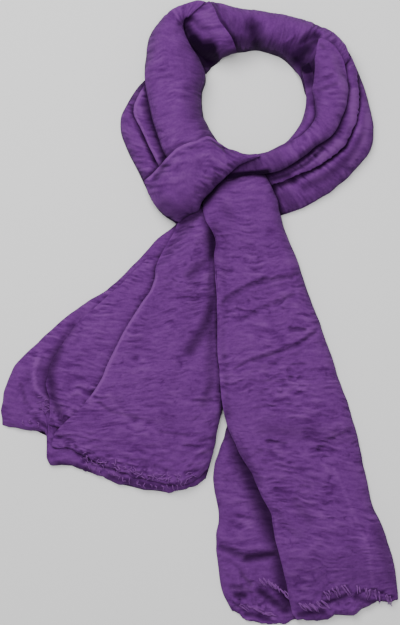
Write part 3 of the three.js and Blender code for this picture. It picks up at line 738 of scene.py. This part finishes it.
loopRightMiddle = {
    "name": "gauzeLoopRightMiddle", "node": "loop_right_middle", "held": "folded",
    "restsOn": ["gauzeLoopRightOuter"],
    "seed": 400, "crown": 3.2, "thick": 12, "plies": 2, "fray": 0.8,
    "rows": [
        [102, 243, 144, 264, 26], [108, 229, 154, 246, 32], [110, 215, 158, 222, 36],
        [110, 200, 157, 198, 37], [107, 187, 150, 176, 37], [99, 175, 138, 159, 34],
        [89, 164, 117, 144, 31], [76, 156, 98, 136, 27], [62, 149, 75, 127, 23], [46, 142, 56, 120, 19],
        [30, 136, 36, 117, 16],
    ],
    "troughs": [
        [121, 160, 114, 153, 3, 1.8], [106, 146, 3.4, 1.8], [96, 140, 3.4, 1.8], [74, 132, 3.4, 2.2],
    ],
    "frizz": [[112, 155, 7, 0.8], [101, 147, 6, 0.8]],
    "lights": [
        [124, 166, 112, 155, 1, 2], [98, 144, 1, 2], [153, 216, 151, 184, 1.8, 6],
        [150, 184, 138, 165, 1.5, 4.5], [118, 150, 1.3, 4], [96, 138, 0.6, 3],
    ],
    "crinkle": [[0, 0.8]],
    "shadows": [[121, 160, 106, 146, 0.5, 1.5], [90, 138, 0.6, 1.7], [88, 136, 66, 130, 0.8, 4]],
}

loopLeftOuterFold = {
    "name": "gauzeLoopLeftOuterFold", "node": "loop_left_outer_fold", "held": "folded",
    "restsOn": ["gauzeTailLeftBack"],
    "seed": 500, "crown": 2.6, "thick": 24,
    "rows": [
        [-20, 245, -40, 249, 12], [-22, 230, -52, 237, 20], [-24, 213, -64, 224, 23],
        [-26, 199, -73, 209, 24], [-28, 185, -79, 196, 25], [-28, 171, -79, 181, 25],
        [-24, 157, -72, 161, 25], [-18, 143, -62, 141, 24], [-10, 129, -52, 120, 23],
        [-1, 117, -40, 101, 20], [8, 107, -23, 87, 16],
    ],
    "troughs": [
        [-70, 204, -61, 184, 4, 3.2], [-50, 163, 4.6, 3.2], [-43, 150, 4, 3.5],
        [-74, 176, -56, 140, -1, 5],
    ],
    "shadows": [[-69, 194, -61, 182, 0.35, 2], [-46, 156, 0.45, 2.4], [-62, 218, -52, 226, 0.5, 6]],
}

loopLeftInnerFold = {
    "name": "gauzeLoopLeftInnerFold", "node": "loop_left_inner_fold", "held": "folded",
    "restsOn": ["gauzeLoopLeftOuterFold"],
    "seed": 600, "crown": 2.6, "thick": 14, "plies": 2,
    "rows": [
        [-20, 236, -46, 240, 24], [-21, 222, -55, 227, 27], [-22, 207, -63, 211, 28],
        [-23, 191, -66, 197, 29], [-22, 175, -59, 181, 30], [-17, 160, -50, 162, 30],
        [-9, 146, -42, 146, 29], [0, 134, -32, 128, 27],
    ],
    "troughs": [[-57, 228, -53, 204, 7, 3.6], [-46, 178, 8, 4], [-36, 154, 8, 4]],
    "edgeHighlight": [[1, 20, 110]],
    "shadows": [[-50, 226, -53, 206, 0.6, 5], [-44, 180, 0.8, 5.5], [-33, 152, 0.85, 5.5]],
}

loopBack = {
    "name": "gauzeLoopBack", "node": "loop_back", "held": "gathered", "restsOn": ["gauzeLoopRightMiddle"],
    "seed": 700, "crown": 2.6, "thick": 46, "hollow": 13, "plies": 5, "round": [2, 9], "groove": 0.4,
    "rows": [
        [-6, 268, -18, 293, 33], [10, 259, 2, 311.2, 36], [28, 260, 20, 310, 41], [42, 262, 40, 305, 46],
        [60, 263, 65, 301, 48], [79, 257, 92, 296, 48], [92, 246, 114, 290, 46], [101, 231, 132, 281, 43],
        [105, 217, 145, 266, 40], [108, 204, 149, 250, 38],
    ],
    "crinkle": [[0, 0.75]],
    "troughs": [
        [53, 278, 57, 262, 12, 8], [70, 288, 68, 262, -2.5, 8], [88, 270, 95, 260, 5, 9],
        [101, 248, 14, 10], [107, 228, 24, 10], [108, 208, 22, 8], [100, 264, 115, 273, 12, 5],
        [36, 300, 44, 270, -1.8, 7], [24, 300, 32, 268, 4, 4], [118, 282, 134, 268, 2, 6],
        [17, 305, 22, 292, 5, 3],
    ],
    "shadows": [
        [50, 288, 53, 280, 0.42, 6], [53, 279, 56, 266, 0.82, 7.5], [60, 256, 1, 9],
        [30, 284, 47, 284, 0.3, 9], [38, 280, 52, 276, 0.35, 7], [38, 268, 50, 266, 0.5, 8],
        [116, 267, 104, 260, 0.8, 6.5], [106, 260, 94, 255, 0.9, 10], [94, 252, 106, 243, 0.95, 9.5],
        [110, 229, 0.9, 9.5], [86, 257, 94, 253, 0.72, 8], [110, 229, 112, 206, 0.5, 6],
        [23, 298, 27, 268, 0.3, 5], [70, 262, 88, 256, 0.5, 5], [15, 301, 22, 286, 0.6, 3],
        [31, 272, 0.8, 3.5], [40, 256, 0.85, 4.5],
    ],
}

loopRightInnerEnd = {
    "name": "gauzeLoopRightInnerEnd", "node": "loop_right_inner_end", "held": "folded",
    "restsOn": ["gauzeLoopRightMiddle"],
    "seed": 800, "crown": 2.4, "thick": 12, "plies": 2, "pitch": 1.3, "ragged": 0.2, "round": [24, 9],
    "waves": 0.5,
    "rows": [
        [100, 243, 108, 246, 18], [102, 233, 112, 235, 22], [104, 222, 116, 223, 32],
        [105, 211, 118, 212, 37], [104, 200, 120, 200, 39], [101, 190, 119, 186, 40],
        [94, 178, 108, 172, 40], [85, 168, 96, 159, 37], [74, 161, 84, 150, 33],
    ],
    "shadows": [
        [98, 250, 107, 241, 1.6, 9], [110, 226, 0.85, 9.5], [112, 206, 0.5, 6],
        [114, 193, 114, 186, 0.9, 2], [100, 173, 0.6, 1.8],
    ],
}

loopInnerFold = {
    "name": "gauzeLoopInnerFold", "node": "loop_inner_fold", "held": "gathered",
    "restsOn": ["gauzeLoopBack"],
    "seed": 900, "crown": 2.4, "thick": 34, "hemReach": 24, "curl": 0.3, "hemPucker": 0.3, "hollow": 13,
    "round": [4, 6], "waves": 0.6,
    "rows": [
        [-30, 292, 9, 308, 44], [-29, 283, 14, 299, 45], [-24, 272, 19, 287, 46], [-16, 262, 27, 276, 44],
        [-6, 250, 33, 266, 41], [4, 239, 36, 259, 34],
    ],
    "hem": [[0, 1], [0.3, -2.6], [0.6, -3.2], [0.85, -1], [1, 1]],
    "crinkle": [[0, 0.6]],
    "troughs": [
        [-11, 280, -3, 268, 24, 8], [8, 252, 32, 10], [20, 250, 30, 8], [4, 290, 24, 268, -1.5, 6],
    ],
    "shadows": [
        [-13, 281, -7, 270, 0.95, 6.5], [0, 262, 1.2, 8], [-3, 266, 10, 266, 0.8, 5],
        [0, 260, 11, 260, 1.6, 7], [4, 251, 13, 252, 2.2, 7.5], [16, 252, 36, 258, 0.8, 3.5],
    ],
}

tailLeftMiddle = {
    "name": "gauzeTailLeftMiddle", "node": "tail_left_middle", "held": "laid",
    "restsOn": ["gauzeTailLeftBack"],
    "seed": 1000, "crown": 5, "thick": 8, "plies": 2,
    "rows": [
        [-50, 56, -20, 50, 16], [-88, 19, -35, 12, 18], [-118, -7, -50, -18, 18],
        [-134, -28, -62, -43, 18], [-147, -50, -72, -66, 18], [-153, -72, -82, -90, 17],
        [-149, -90, -92, -112, 16], [-150, -112, -100, -132, 14],
    ],
    "troughs": [[-126, -26, -136, -44, 3.4, 4], [-142, -60, 2.6, 5], [-100, -4, -122, -40, -1.6, 8]],
    "soft": [[0, 0, 118, 28]],
    "crumples": [[-146, -96, 14, 3.2], [-140, -114, 14, 2.4], [-110, -100, 16, 1.2]],
    "crinkle": [[0, 1.1]],
    "frizz": [[-140, -104, 12, 0.9], [-128, -112, 12, 0.7]],
    "shadows": [
        [-118, 0, -128, -14, 0.2, 4], [-126, -14, -142, -38, 0.4, 5], [-140, -36, -149, -60, 0.62, 6],
        [-146, -84, 0.65, 6], [-137, -104, 0.55, 5],
    ],
}

tailLeftFront = {
    "name": "gauzeTailLeftFront", "node": "tail_left_front", "held": "laid",
    "restsOn": ["gauzeTailLeftMiddle"], "threads": ["yarnLeftFront"],
    "seed": 1100, "crown": 7, "thick": 13, "plies": 2, "steepFrom": 0.93, "hemPucker": 2.6, "curl": 1.8,
    "pitch": 1.3, "hemFrizz": [0.8, 5.5, 6.5, 0.02, 0.97],
    "rows": [
        [-14, 104, 15, 106, 27], [-26, 80, 17, 84, 27], [-42, 50, 19, 60, 26], [-47, 26, 19, 32, 25],
        [-61, 4, 20, 8, 24], [-78, -24, 20, -18, 24], [-90, -49, 21, -44, 23], [-101, -73, 23, -70, 22],
        [-116, -93, 23.5, -93, 22], [-134, -110, 18, -111, 21], [-145, -122, 14, -132, 19],
        [-147, -132, 8, -150, 16],
    ],
    "hem": [[0, 0], [0.13, 3], [0.3, 12], [0.5, 20], [0.7, 25], [0.8, 26], [0.9, 21], [1, 6]],
    "opened": [[-30, 90, -4, 99, 0.8, 6]],
    "soft": [[0, -30, 60, 24], [0, 206, 330, 34]],
    "edgeHighlight": [[0, 70, 205]],
    "troughs": [
        [-10, 74, -34, 20, 1.8, 9], [-62, -40, 1.8, 10], [4, 64, -4, 0, 3, 8], [-14, -60, 2.2, 8],
        [12, 76, 14, -30, 3.4, 5], [14, -90, 2, 5], [-92, -82, -70, -108, 2, 6], [-30, -114, 1.2, 6],
        [-36, -62, -50, -120, -1.6, 12], [-88, 0, -60, -50, -0.9, 8], [-14, -134, -2, -136, 2.6, 2],
    ],
    "crumples": [
        [-96, -96, 16, 1.2], [-116, -138, 20, 2.2], [-60, -160, 26, 2.4], [-10, -160, 22, 2.4],
        [6, -110, 14, 1.5], [-30, 40, 30, 0.9],
    ],
    "crinkle": [[0, 1.15]],
    "lights": [[-92, -82, -74, -104, 0.6, 2], [-60, 0, -76, -30, 0.5, 5], [-86, -50, -104, -80, 0.5, 5]],
    "shadows": [
        [6, 98, 14, 76, 0.8, 7], [13, 80, 13, 56, 0.95, 9], [13, 57, -11, 36, 0.45, 6],
        [12, 56, 12, -20, 0.36, 8], [12, -72, 0.3, 8], [15, 60, 17, -20, 0.7, 5],
        [14, 12, 4, -16, 0.68, 7], [-10, -38, 0.62, 7], [17, -20, 18, -88, 0.4, 3.5],
        [12, -68, 3, -90, 0.4, 5], [-7, -88, 12, -87, 0.45, 1.8], [-40, -119, -11, -122, 0.4, 1.6],
        [-100, -90, -88, -99, 0.4, 2], [-62, -104, 0.35, 2], [0, -128, 14, -124, 0.35, 2],
        [2, -140, 12, -136, 0.35, 2], [-146, -138, -125, -148, 0.4, 2.4],
        [-125, -150, -100, -162, 0.4, 2.6], [-100, -163, -75, -173, 0.45, 2.6],
        [-75, -174, -35, -182, 0.55, 2.8], [-12, -178, 0.5, 2.6], [-114, -145, -112, -147, 0.6, 3],
        [-108, -150, -104, -153, 0.7, 3.2], [-89, -160, -87, -161, 0.5, 2],
        [-56, -169, -50, -173, 0.7, 3], [-30, -172, -20, -175, 0.65, 3.4],
    ],
}

tailRightFront = {
    "name": "gauzeTailRightFront", "node": "tail_right_front", "held": "laid",
    "restsOn": ["gauzeTailRightBack", "gauzeLoopRightOuter"], "threads": ["yarnRightFront"],
    "seed": 1200, "crown": 6, "thick": 20, "hemReach": 40, "hemPucker": 1.6, "steepFrom": 0.9,
    "drop": 3.2, "pitch": 1.3, "hemFrizz": [0.5, 10, 7, 0.05, 0.97],
    "rows": [
        [24, 146, 52, 152, 26], [12, 126, 64, 136, 33], [3, 108, 76, 113, 35], [6, 90, 81, 94, 33],
        [15, 71, 89, 72, 29], [14, 50, 98, 51, 26], [16, 22, 106, 24, 24], [17, -8, 117, -4, 23],
        [17, -38, 128, -34, 22], [20, -68, 138, -66, 21], [22, -93, 147, -90, 20],
        [28, -116, 155, -116, 19], [39, -140, 161, -143, 19], [51, -160, 166, -168, 19],
        [60, -181, 172, -192, 19], [70, -201, 181, -213, 19], [74, -224, 188, -232, 18],
        [81, -251, 193, -250, 17], [87, -274, 196, -270, 15], [91, -290, 197, -284, 13],
    ],
    "hem": [
        [0, 10], [0.04, 15], [0.15, 17], [0.26, 19], [0.34, 17], [0.415, 13], [0.5, 15], [0.575, 15],
        [0.64, 9], [0.7, 6], [0.84, 2], [0.93, 3], [1, 1],
    ],
    "ledge": [
        [85, -284], [92, -287], [97, -290], [108, -293], [119, -295], [121, -279], [133, -275],
        [147, -274], [152, -280], [158, -277], [172, -274], [185, -280], [200, -288],
    ],
    "troughs": [
        [22, 6, 26, 12, 2.6, 2.6], [49, 25, 3, 2.6], [63, 31, 3.4, 2.6], [91, 34, 3.4, 2.4],
        [99, 39, 2.6, 2.4], [43, -9, 54, -2, 2.4, 2.8], [66, 3, 2.4, 2.8], [93, 16, 2.2, 2.8],
        [37, -57, 53, -49, 3, 2.6], [81, -40, 3.2, 2.6], [96, -34, 2.8, 2.4], [115, -21, 3.2, 2.4],
        [90, -18, 104, -18, 2.6, 2], [68, -130, 84, -131, 2.2, 2.4], [118, -137, 134, -125, 2.2, 2.6],
        [152, -118, 2.2, 2.6], [60, -96, 90, -92, 1.6, 2.6], [55, -190, 100, -230, 2, 6],
        [84, -200, 112, -236, -1.4, 7], [165, -228, 186, -284, -1.8, 6], [150, -236, 160, -280, 1.8, 6],
        [60, 62, 84, 30, -1.2, 9], [30, 92, 28, 40, 1.4, 7], [140, -150, 160, -200, -1.2, 8],
    ],
    "crumples": [
        [92, -60, 26, 2.2], [70, -84, 20, 1.6], [130, -128, 20, 1.8], [60, -140, 18, 1.4],
        [90, -180, 24, 1.2], [130, -280, 30, 1.4], [30, -60, 16, 1], [70, 10, 30, 0.9],
    ],
    "crinkle": [[0, 0.55], [50, 0.6], [110, 1.1]],
    "frizz": [[74, -200, 10, 0.35], [64, -176, 8, 0.35]],
    "lights": [
        [133, -157, 150, -196, 0.5, 2.2], [166, -233, 0.6, 2.2], [171, -278, 0.5, 2.4],
        [27, 16, 49, 31, 0.4, 2.5], [36, -50, 80, -36, 0.35, 3],
    ],
    "shadows": [
        [22, 133, 34, 138, 0.9, 4.5], [66, 138, 1, 5], [4, 106, 22, 130, 0.75, 4.5],
        [14, 84, 12, 40, 0.35, 6], [24, 104, 30, 92, 0.2, 6], [49, 25, 91, 34, 0.25, 2],
        [28, 9, 48, 24, 0.25, 2.2], [53, -49, 96, -34, 0.3, 2], [90, -18, 104, -18, 0.45, 2],
        [64, -116, 160, -124, 0.22, 9], [118, -136, 150, -120, 0.25, 3], [130, -119, 150, -115, 0.35, 2],
        [94, -188, 108, -206, 0.25, 6], [66, -200, 70, -222, 0.35, 5], [40, -136, 58, -168, 0.3, 5],
        [176, -216, 188, -262, 0.3, 8], [96, -262, 190, -262, 0.16, 24], [98, -299, 122, -297, 0.75, 3.6],
        [123, -288, 144, -281, 0.75, 3.6], [154, -283, 178, -289, 0.65, 3.4],
    ],
}

loopRightInnerRoll = {
    "name": "gauzeLoopRightInnerRoll", "node": "loop_right_inner_roll", "held": "folded",
    "restsOn": ["gauzeLoopRightMiddle"],
    "seed": 1300, "crown": 2.4, "thick": 16, "plies": 2, "pitch": 1.4, "round": [26, 9], "waves": 0.8,
    "rows": [
        [117, 268, 119, 269, 34], [115.5, 262, 128, 265, 41], [114, 254, 137, 256, 46],
        [113.5, 246, 143, 244, 50], [113, 235, 146, 229, 53], [111, 219, 146, 211, 54],
        [113, 204, 141, 192, 53], [113, 190, 131, 174, 51], [104, 176, 114, 162, 48],
        [88, 167, 99, 150, 46], [69, 160, 83, 141, 44], [52, 157, 64, 136, 43], [38, 154, 44, 134, 42],
        [24, 148, 27, 129, 41],
    ],
    "soft": [[1, -30, 44, 16]],
    "crinkle": [[0, 0.8]],
    "troughs": [
        [117, 225, 132, 231, 2.2, 2.2], [116, 215, 125, 218.5, 2.4, 2.2], [134, 222, 1.6, 2.4],
        [119, 235.5, 128, 239, 1.2, 2], [121, 247.5, 127.5, 250, 1.4, 2.2],
    ],
    "lights": [[134, 250, 142, 222, 0.6, 6], [138, 200, 0.5, 6]],
    "shadows": [
        [117, 225, 130, 230, 0.3, 2], [116, 215, 134, 222, 0.36, 2.2], [117, 238, 114, 205, 0.18, 6],
        [119, 262, 122, 259, 0.35, 2.4], [26, 140, 56, 144, 0.6, 10], [20, 132, 66, 136, 1.25, 5],
        [56, 146, 76, 150, 0.35, 8], [112, 206, 114, 192, 0.55, 2.4], [72, 160, 90, 166, 0.35, 3],
        [124, 168, 100, 152, 0.5, 3],
    ],
}

loopLeftRoll = {
    "name": "gauzeLoopLeftRoll", "node": "loop_left_roll", "held": "gathered",
    "restsOn": ["gauzeLoopLeftInnerFold"],
    "seed": 1400, "crown": 2.4, "thick": 44, "plies": 4, "hollow": 13, "round": [30, 9], "groove": 0.4,
    "rows": [
        [-12, 289, 6, 305, 45], [-14, 289, -4, 307, 46], [-16, 286, -19, 304, 48],
        [-16, 278, -39, 293, 49], [-10, 264, -51, 276, 50], [0.5, 250, -55, 253, 51],
        [6, 235, -55, 232, 51], [2, 217, -52, 213, 52], [2.5, 201, -47, 190, 52], [8, 187, -41, 171, 51],
        [16, 174, -33, 152, 49], [24, 161, -19, 135, 46], [31, 147, -2, 121, 44],
    ],
    "troughs": [
        [-22, 262, -26, 236, -1.6, 7], [-36, 222, -30, 190, 1.4, 7], [-10, 214, -6, 190, 1.6, 6],
        [-20, 282, -13, 288, 2.4, 2.6], [-26, 270, -18, 276, 1.4, 4],
    ],
    "shadows": [[-20, 282, -13, 288, 0.5, 2.2]],
    "crinkle": [[0, 0.9]],
}

knotWrap = {
    "name": "gauzeKnotWrap", "node": "knot_wrap", "held": "gathered",
    "restsOn": ["gauzeTailRightFront", "gauzeLoopLeftRoll"],
    "seed": 1500, "crown": 2.8, "thick": 20, "pitch": 1.6, "round": [16, 9], "waves": 0.7, "turn": 52,
    "rows": [
        [-54, 131, -20, 89, 30], [-45, 139, -13, 94, 46], [-33, 150, -2, 99, 55], [-20, 161, 3, 109, 59],
        [-6, 166, 12, 119, 59], [8, 171, 21, 128, 58], [20, 165, 31, 137, 57], [33, 158, 43, 145, 55],
        [46, 154, 54, 149, 51], [56, 154, 59, 152, 47],
    ],
    "start": [[0, 2], [0.25, 7], [0.5, 9], [0.75, 7], [1, 1]],
    "soft": [[0, 8, 92, 13]],
    "edgeHighlight": [[0, 4, 80]],
    "troughs": [
        [40.5, 148, 43, 145, 1.4, 1.6], [34, 144, 38, 141.8, 1.8, 1.4], [28, 141.2, 34, 138.6, 2.2, 1.5],
        [15, 137.6, 21, 136, 1.8, 1.4], [15, 133.6, 21, 130.4, 2.2, 1.5], [-3, 129.9, 5, 128.9, 1.2, 1.6],
        [14.5, 127, 2, 1.6], [-5, 119, 1, 119.6, 1, 1.5], [5, 118.4, 10, 116.6, 1.8, 1.6],
        [-4, 114.9, 3.5, 114, 1.4, 1.5], [-24, 118, -8, 150, -1.2, 8], [-40, 130, -14, 104, 1.2, 5],
    ],
    "crinkle": [[0, 1.1]],
    "opened": [[2, 108, 14, 122, 0.7, 5], [26, 133, 0.85, 6], [46, 146, 0.7, 4.5]],
    "shadows": [
        [-32, 98, -4, 104, 0.2, 12], [-14, 134, 24, 150, 0.1, 16], [34, 144, 38, 141.8, 0.35, 1.3],
        [28, 141.2, 34, 138.6, 0.5, 1.4], [15, 137.6, 21, 136, 0.35, 1.3],
        [15, 133.6, 21, 130.4, 0.5, 1.4], [-3, 129.9, 5, 128.9, 0.25, 1.3], [14.5, 127, 0.45, 1.5],
        [5, 118.4, 10, 116.6, 0.45, 1.7], [-4, 114.9, 3.5, 114, 0.3, 1.4],
    ],
}

order = (
    tailLeftBack, tailRightBack, loopRightOuter, loopRightMiddle, loopLeftOuterFold, loopLeftInnerFold,
    loopBack, loopRightInnerEnd, loopInnerFold, tailLeftMiddle, tailLeftFront, tailRightFront,
    loopRightInnerRoll, loopLeftRoll, knotWrap,
)
stretches = [{**usual, **spec} for spec in order]
for spec in stretches:
    layStretch(spec)
wideBlurs, nearBlurs = 130, 16
wideHeap, nearHeap = softened(heap, wideBlurs), softened(heap, nearBlurs)
for spec in stretches:
    finishStretch(spec, clothMaterial, wideHeap, nearHeap)
    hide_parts(spec["node"])


# Points every pitch mm along a line of plan points, at the cloth's height, each moved by a wander,
# and the direction that the threads take there: one way for all
def rootsAlong(line, pitch, way, wander, seed):
    line = np.array(line, float)
    run = np.concatenate([[0], np.cumsum(np.linalg.norm(np.diff(line, axis=0), axis=1))])
    spots = np.arange(pitch / 2, run[-1], pitch)
    random = np.random.default_rng(seed)
    x = np.interp(spots, run, line[:, 0]) + random.normal(0, 1, len(spots)) * wander
    y = np.interp(spots, run, line[:, 1]) + random.normal(0, 1, len(spots)) * wander
    direction = np.array(way, float) / math.hypot(*way)
    return np.stack([x, y, sample(heap, x, y)], axis=1), np.tile(direction, (len(spots), 1))


# Points strewn within reach of a line, each with a direction of its own
def rootsStrewn(line, pitch, reach, seed):
    roots, ways = rootsAlong(line, pitch, (1, 0), 0, seed)
    random = np.random.default_rng(seed)
    roots[:, 0] += random.uniform(-1, 1, len(roots)) * reach
    roots[:, 1] += random.uniform(-0.4, 1, len(roots)) * reach
    roots[:, 2] = sample(heap, roots[:, 0], roots[:, 1])
    angle = random.uniform(0, 2 * np.pi, len(roots))
    return roots, np.stack([np.cos(angle), np.sin(angle)], axis=1)


# Loose threads. each: threads a tuft; lengths in mm; lean, bend: shares of the length
# strewn: line, mm between roots, reach, seed; along: line, mm between roots, way, wander, seed
yarnRightFront = {
    "name": "yarnRightFront", "node": "fringe_right_front", "seed": 31,
    "each": 3, "length": 11.0, "tuftWidth": 1.0, "loose": 0.3, "radius": 0.6, "lean": 0.12, "bend": 0.07,
    "strewn": [],
    "along": [
        [[(96, -288), (106, -290), (122, -286)], 4.6, (0.7, -0.72), 0.5, 11],
        [[(120, -278), (132, -273), (146, -271)], 4.4, (0.45, -0.9), 0.5, 12],
        [[(152, -272), (164, -274), (178, -278)], 4.6, (0.12, -1), 0.4, 13],
        [[(182, -280), (190, -282)], 4.0, (0.4, -1), 0.3, 14],
    ],
}

yarnRightBack = {
    "name": "yarnRightBack", "node": "fringe_right_back", "seed": 32,
    "each": 3, "length": 10.5, "tuftWidth": 0.9, "loose": 0.3, "radius": 0.58, "lean": 0.12, "bend": 0.07,
    "strewn": [],
    "along": [
        [[(58, -264), (69, -267), (77, -273), (84, -279)], 3.9, (0.5, -0.86), 0.4, 15],
        [[(38, -290), (52, -293), (66, -299)], 6.0, (0.9, -0.4), 1.0, 16],
    ],
}

yarnLeftFront = {
    "name": "yarnLeftFront", "node": "fringe_left_front", "seed": 33,
    "each": 1, "length": 5.5, "tuftWidth": 0.6, "loose": 0.7, "radius": 0.52, "lean": 0.28, "bend": 0.2,
    "strewn": [[[(-118, -144), (-95, -152), (-60, -162), (-30, -168), (-8, -165)], 2.2, 5.5, 17]],
    "along": [
        [[(-116, -149), (-100, -156), (-70, -167), (-40, -174), (-14, -171)], 5.6, (0.3, -1), 1.2, 18],
    ],
}

yarnLeftBack = {
    "name": "yarnLeftBack", "node": "fringe_left_back", "seed": 34,
    "each": 1, "length": 5.5, "tuftWidth": 0.6, "loose": 0.8, "radius": 0.42, "lean": 0.28, "bend": 0.25,
    "strewn": [[[(-160, -88), (-152, -94), (-154, -104)], 2.0, 5, 19]],
    "along": [[[(-180, -108), (-162, -110)], 7.0, (0.1, -1), 0.8, 20]],
}

ground = spread(heap)
for spec in (yarnRightFront, yarnRightBack, yarnLeftFront, yarnLeftBack):
    parts = [rootsStrewn(*row) for row in spec["strewn"]] + [rootsAlong(*row) for row in spec["along"]]
    roots, ways = (np.concatenate(blocks) for blocks in zip(*parts))
    looseThreads(spec, roots, ways, ground, threadMaterial)
    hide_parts(spec["node"])
studio = {
    "floorHalf": 6.0,  # metres
    "floorHeight": -0.0004,
    "floorColour": (0.93, 0.93, 0.93, 1.0),
    "floorRoughness": 0.9,
    "lights": [  # name, place, size, power
        ("key", (-0.35, 0.75, 1.3), 0.8, 16.0),
        ("overhead", (0.0, 0.1, 2.3), 1.0, 26.0),
    ],
    "sky": (1.0, 1.0, 1.0, 1.0),
    "skyStrength": 0.3,
}


def makeFloor(spec):
    half, height = spec["floorHalf"], spec["floorHeight"]
    data = bpy.data.meshes.new("floor")
    corners = [(-half, -half, height), (half, -half, height), (half, half, height), (-half, half, height)]
    data.from_pydata(corners, [], [(0, 1, 2, 3)])
    material = bpy.data.materials.new("paleFloor")
    material.use_nodes = True
    shader = material.node_tree.nodes["Principled BSDF"]
    shader.inputs["Base Color"].default_value = spec["floorColour"]
    shader.inputs["Roughness"].default_value = spec["floorRoughness"]
    data.materials.append(material)
    floor = bpy.data.objects.new("floor", data)
    bpy.context.scene.collection.objects.link(floor)


# A disk that shines at the origin
def areaLight(name, place, size, power):
    data = bpy.data.lights.new(name, "AREA")
    data.shape = "DISK"
    data.size = size
    data.energy = power
    light = bpy.data.objects.new(name, data)
    light.location = place
    light.rotation_euler = (-Vector(place)).to_track_quat("-Z", "Y").to_euler()
    bpy.context.scene.collection.objects.link(light)


def makeSky(spec):
    world = bpy.data.worlds.new("studio")
    world.use_nodes = True
    background = world.node_tree.nodes["Background"]
    background.inputs["Color"].default_value = spec["sky"]
    background.inputs["Strength"].default_value = spec["skyStrength"]
    bpy.context.scene.world = world


makeFloor(studio)
for light in studio["lights"]:
    areaLight(*light)
makeSky(studio)
print("floor and lights set")
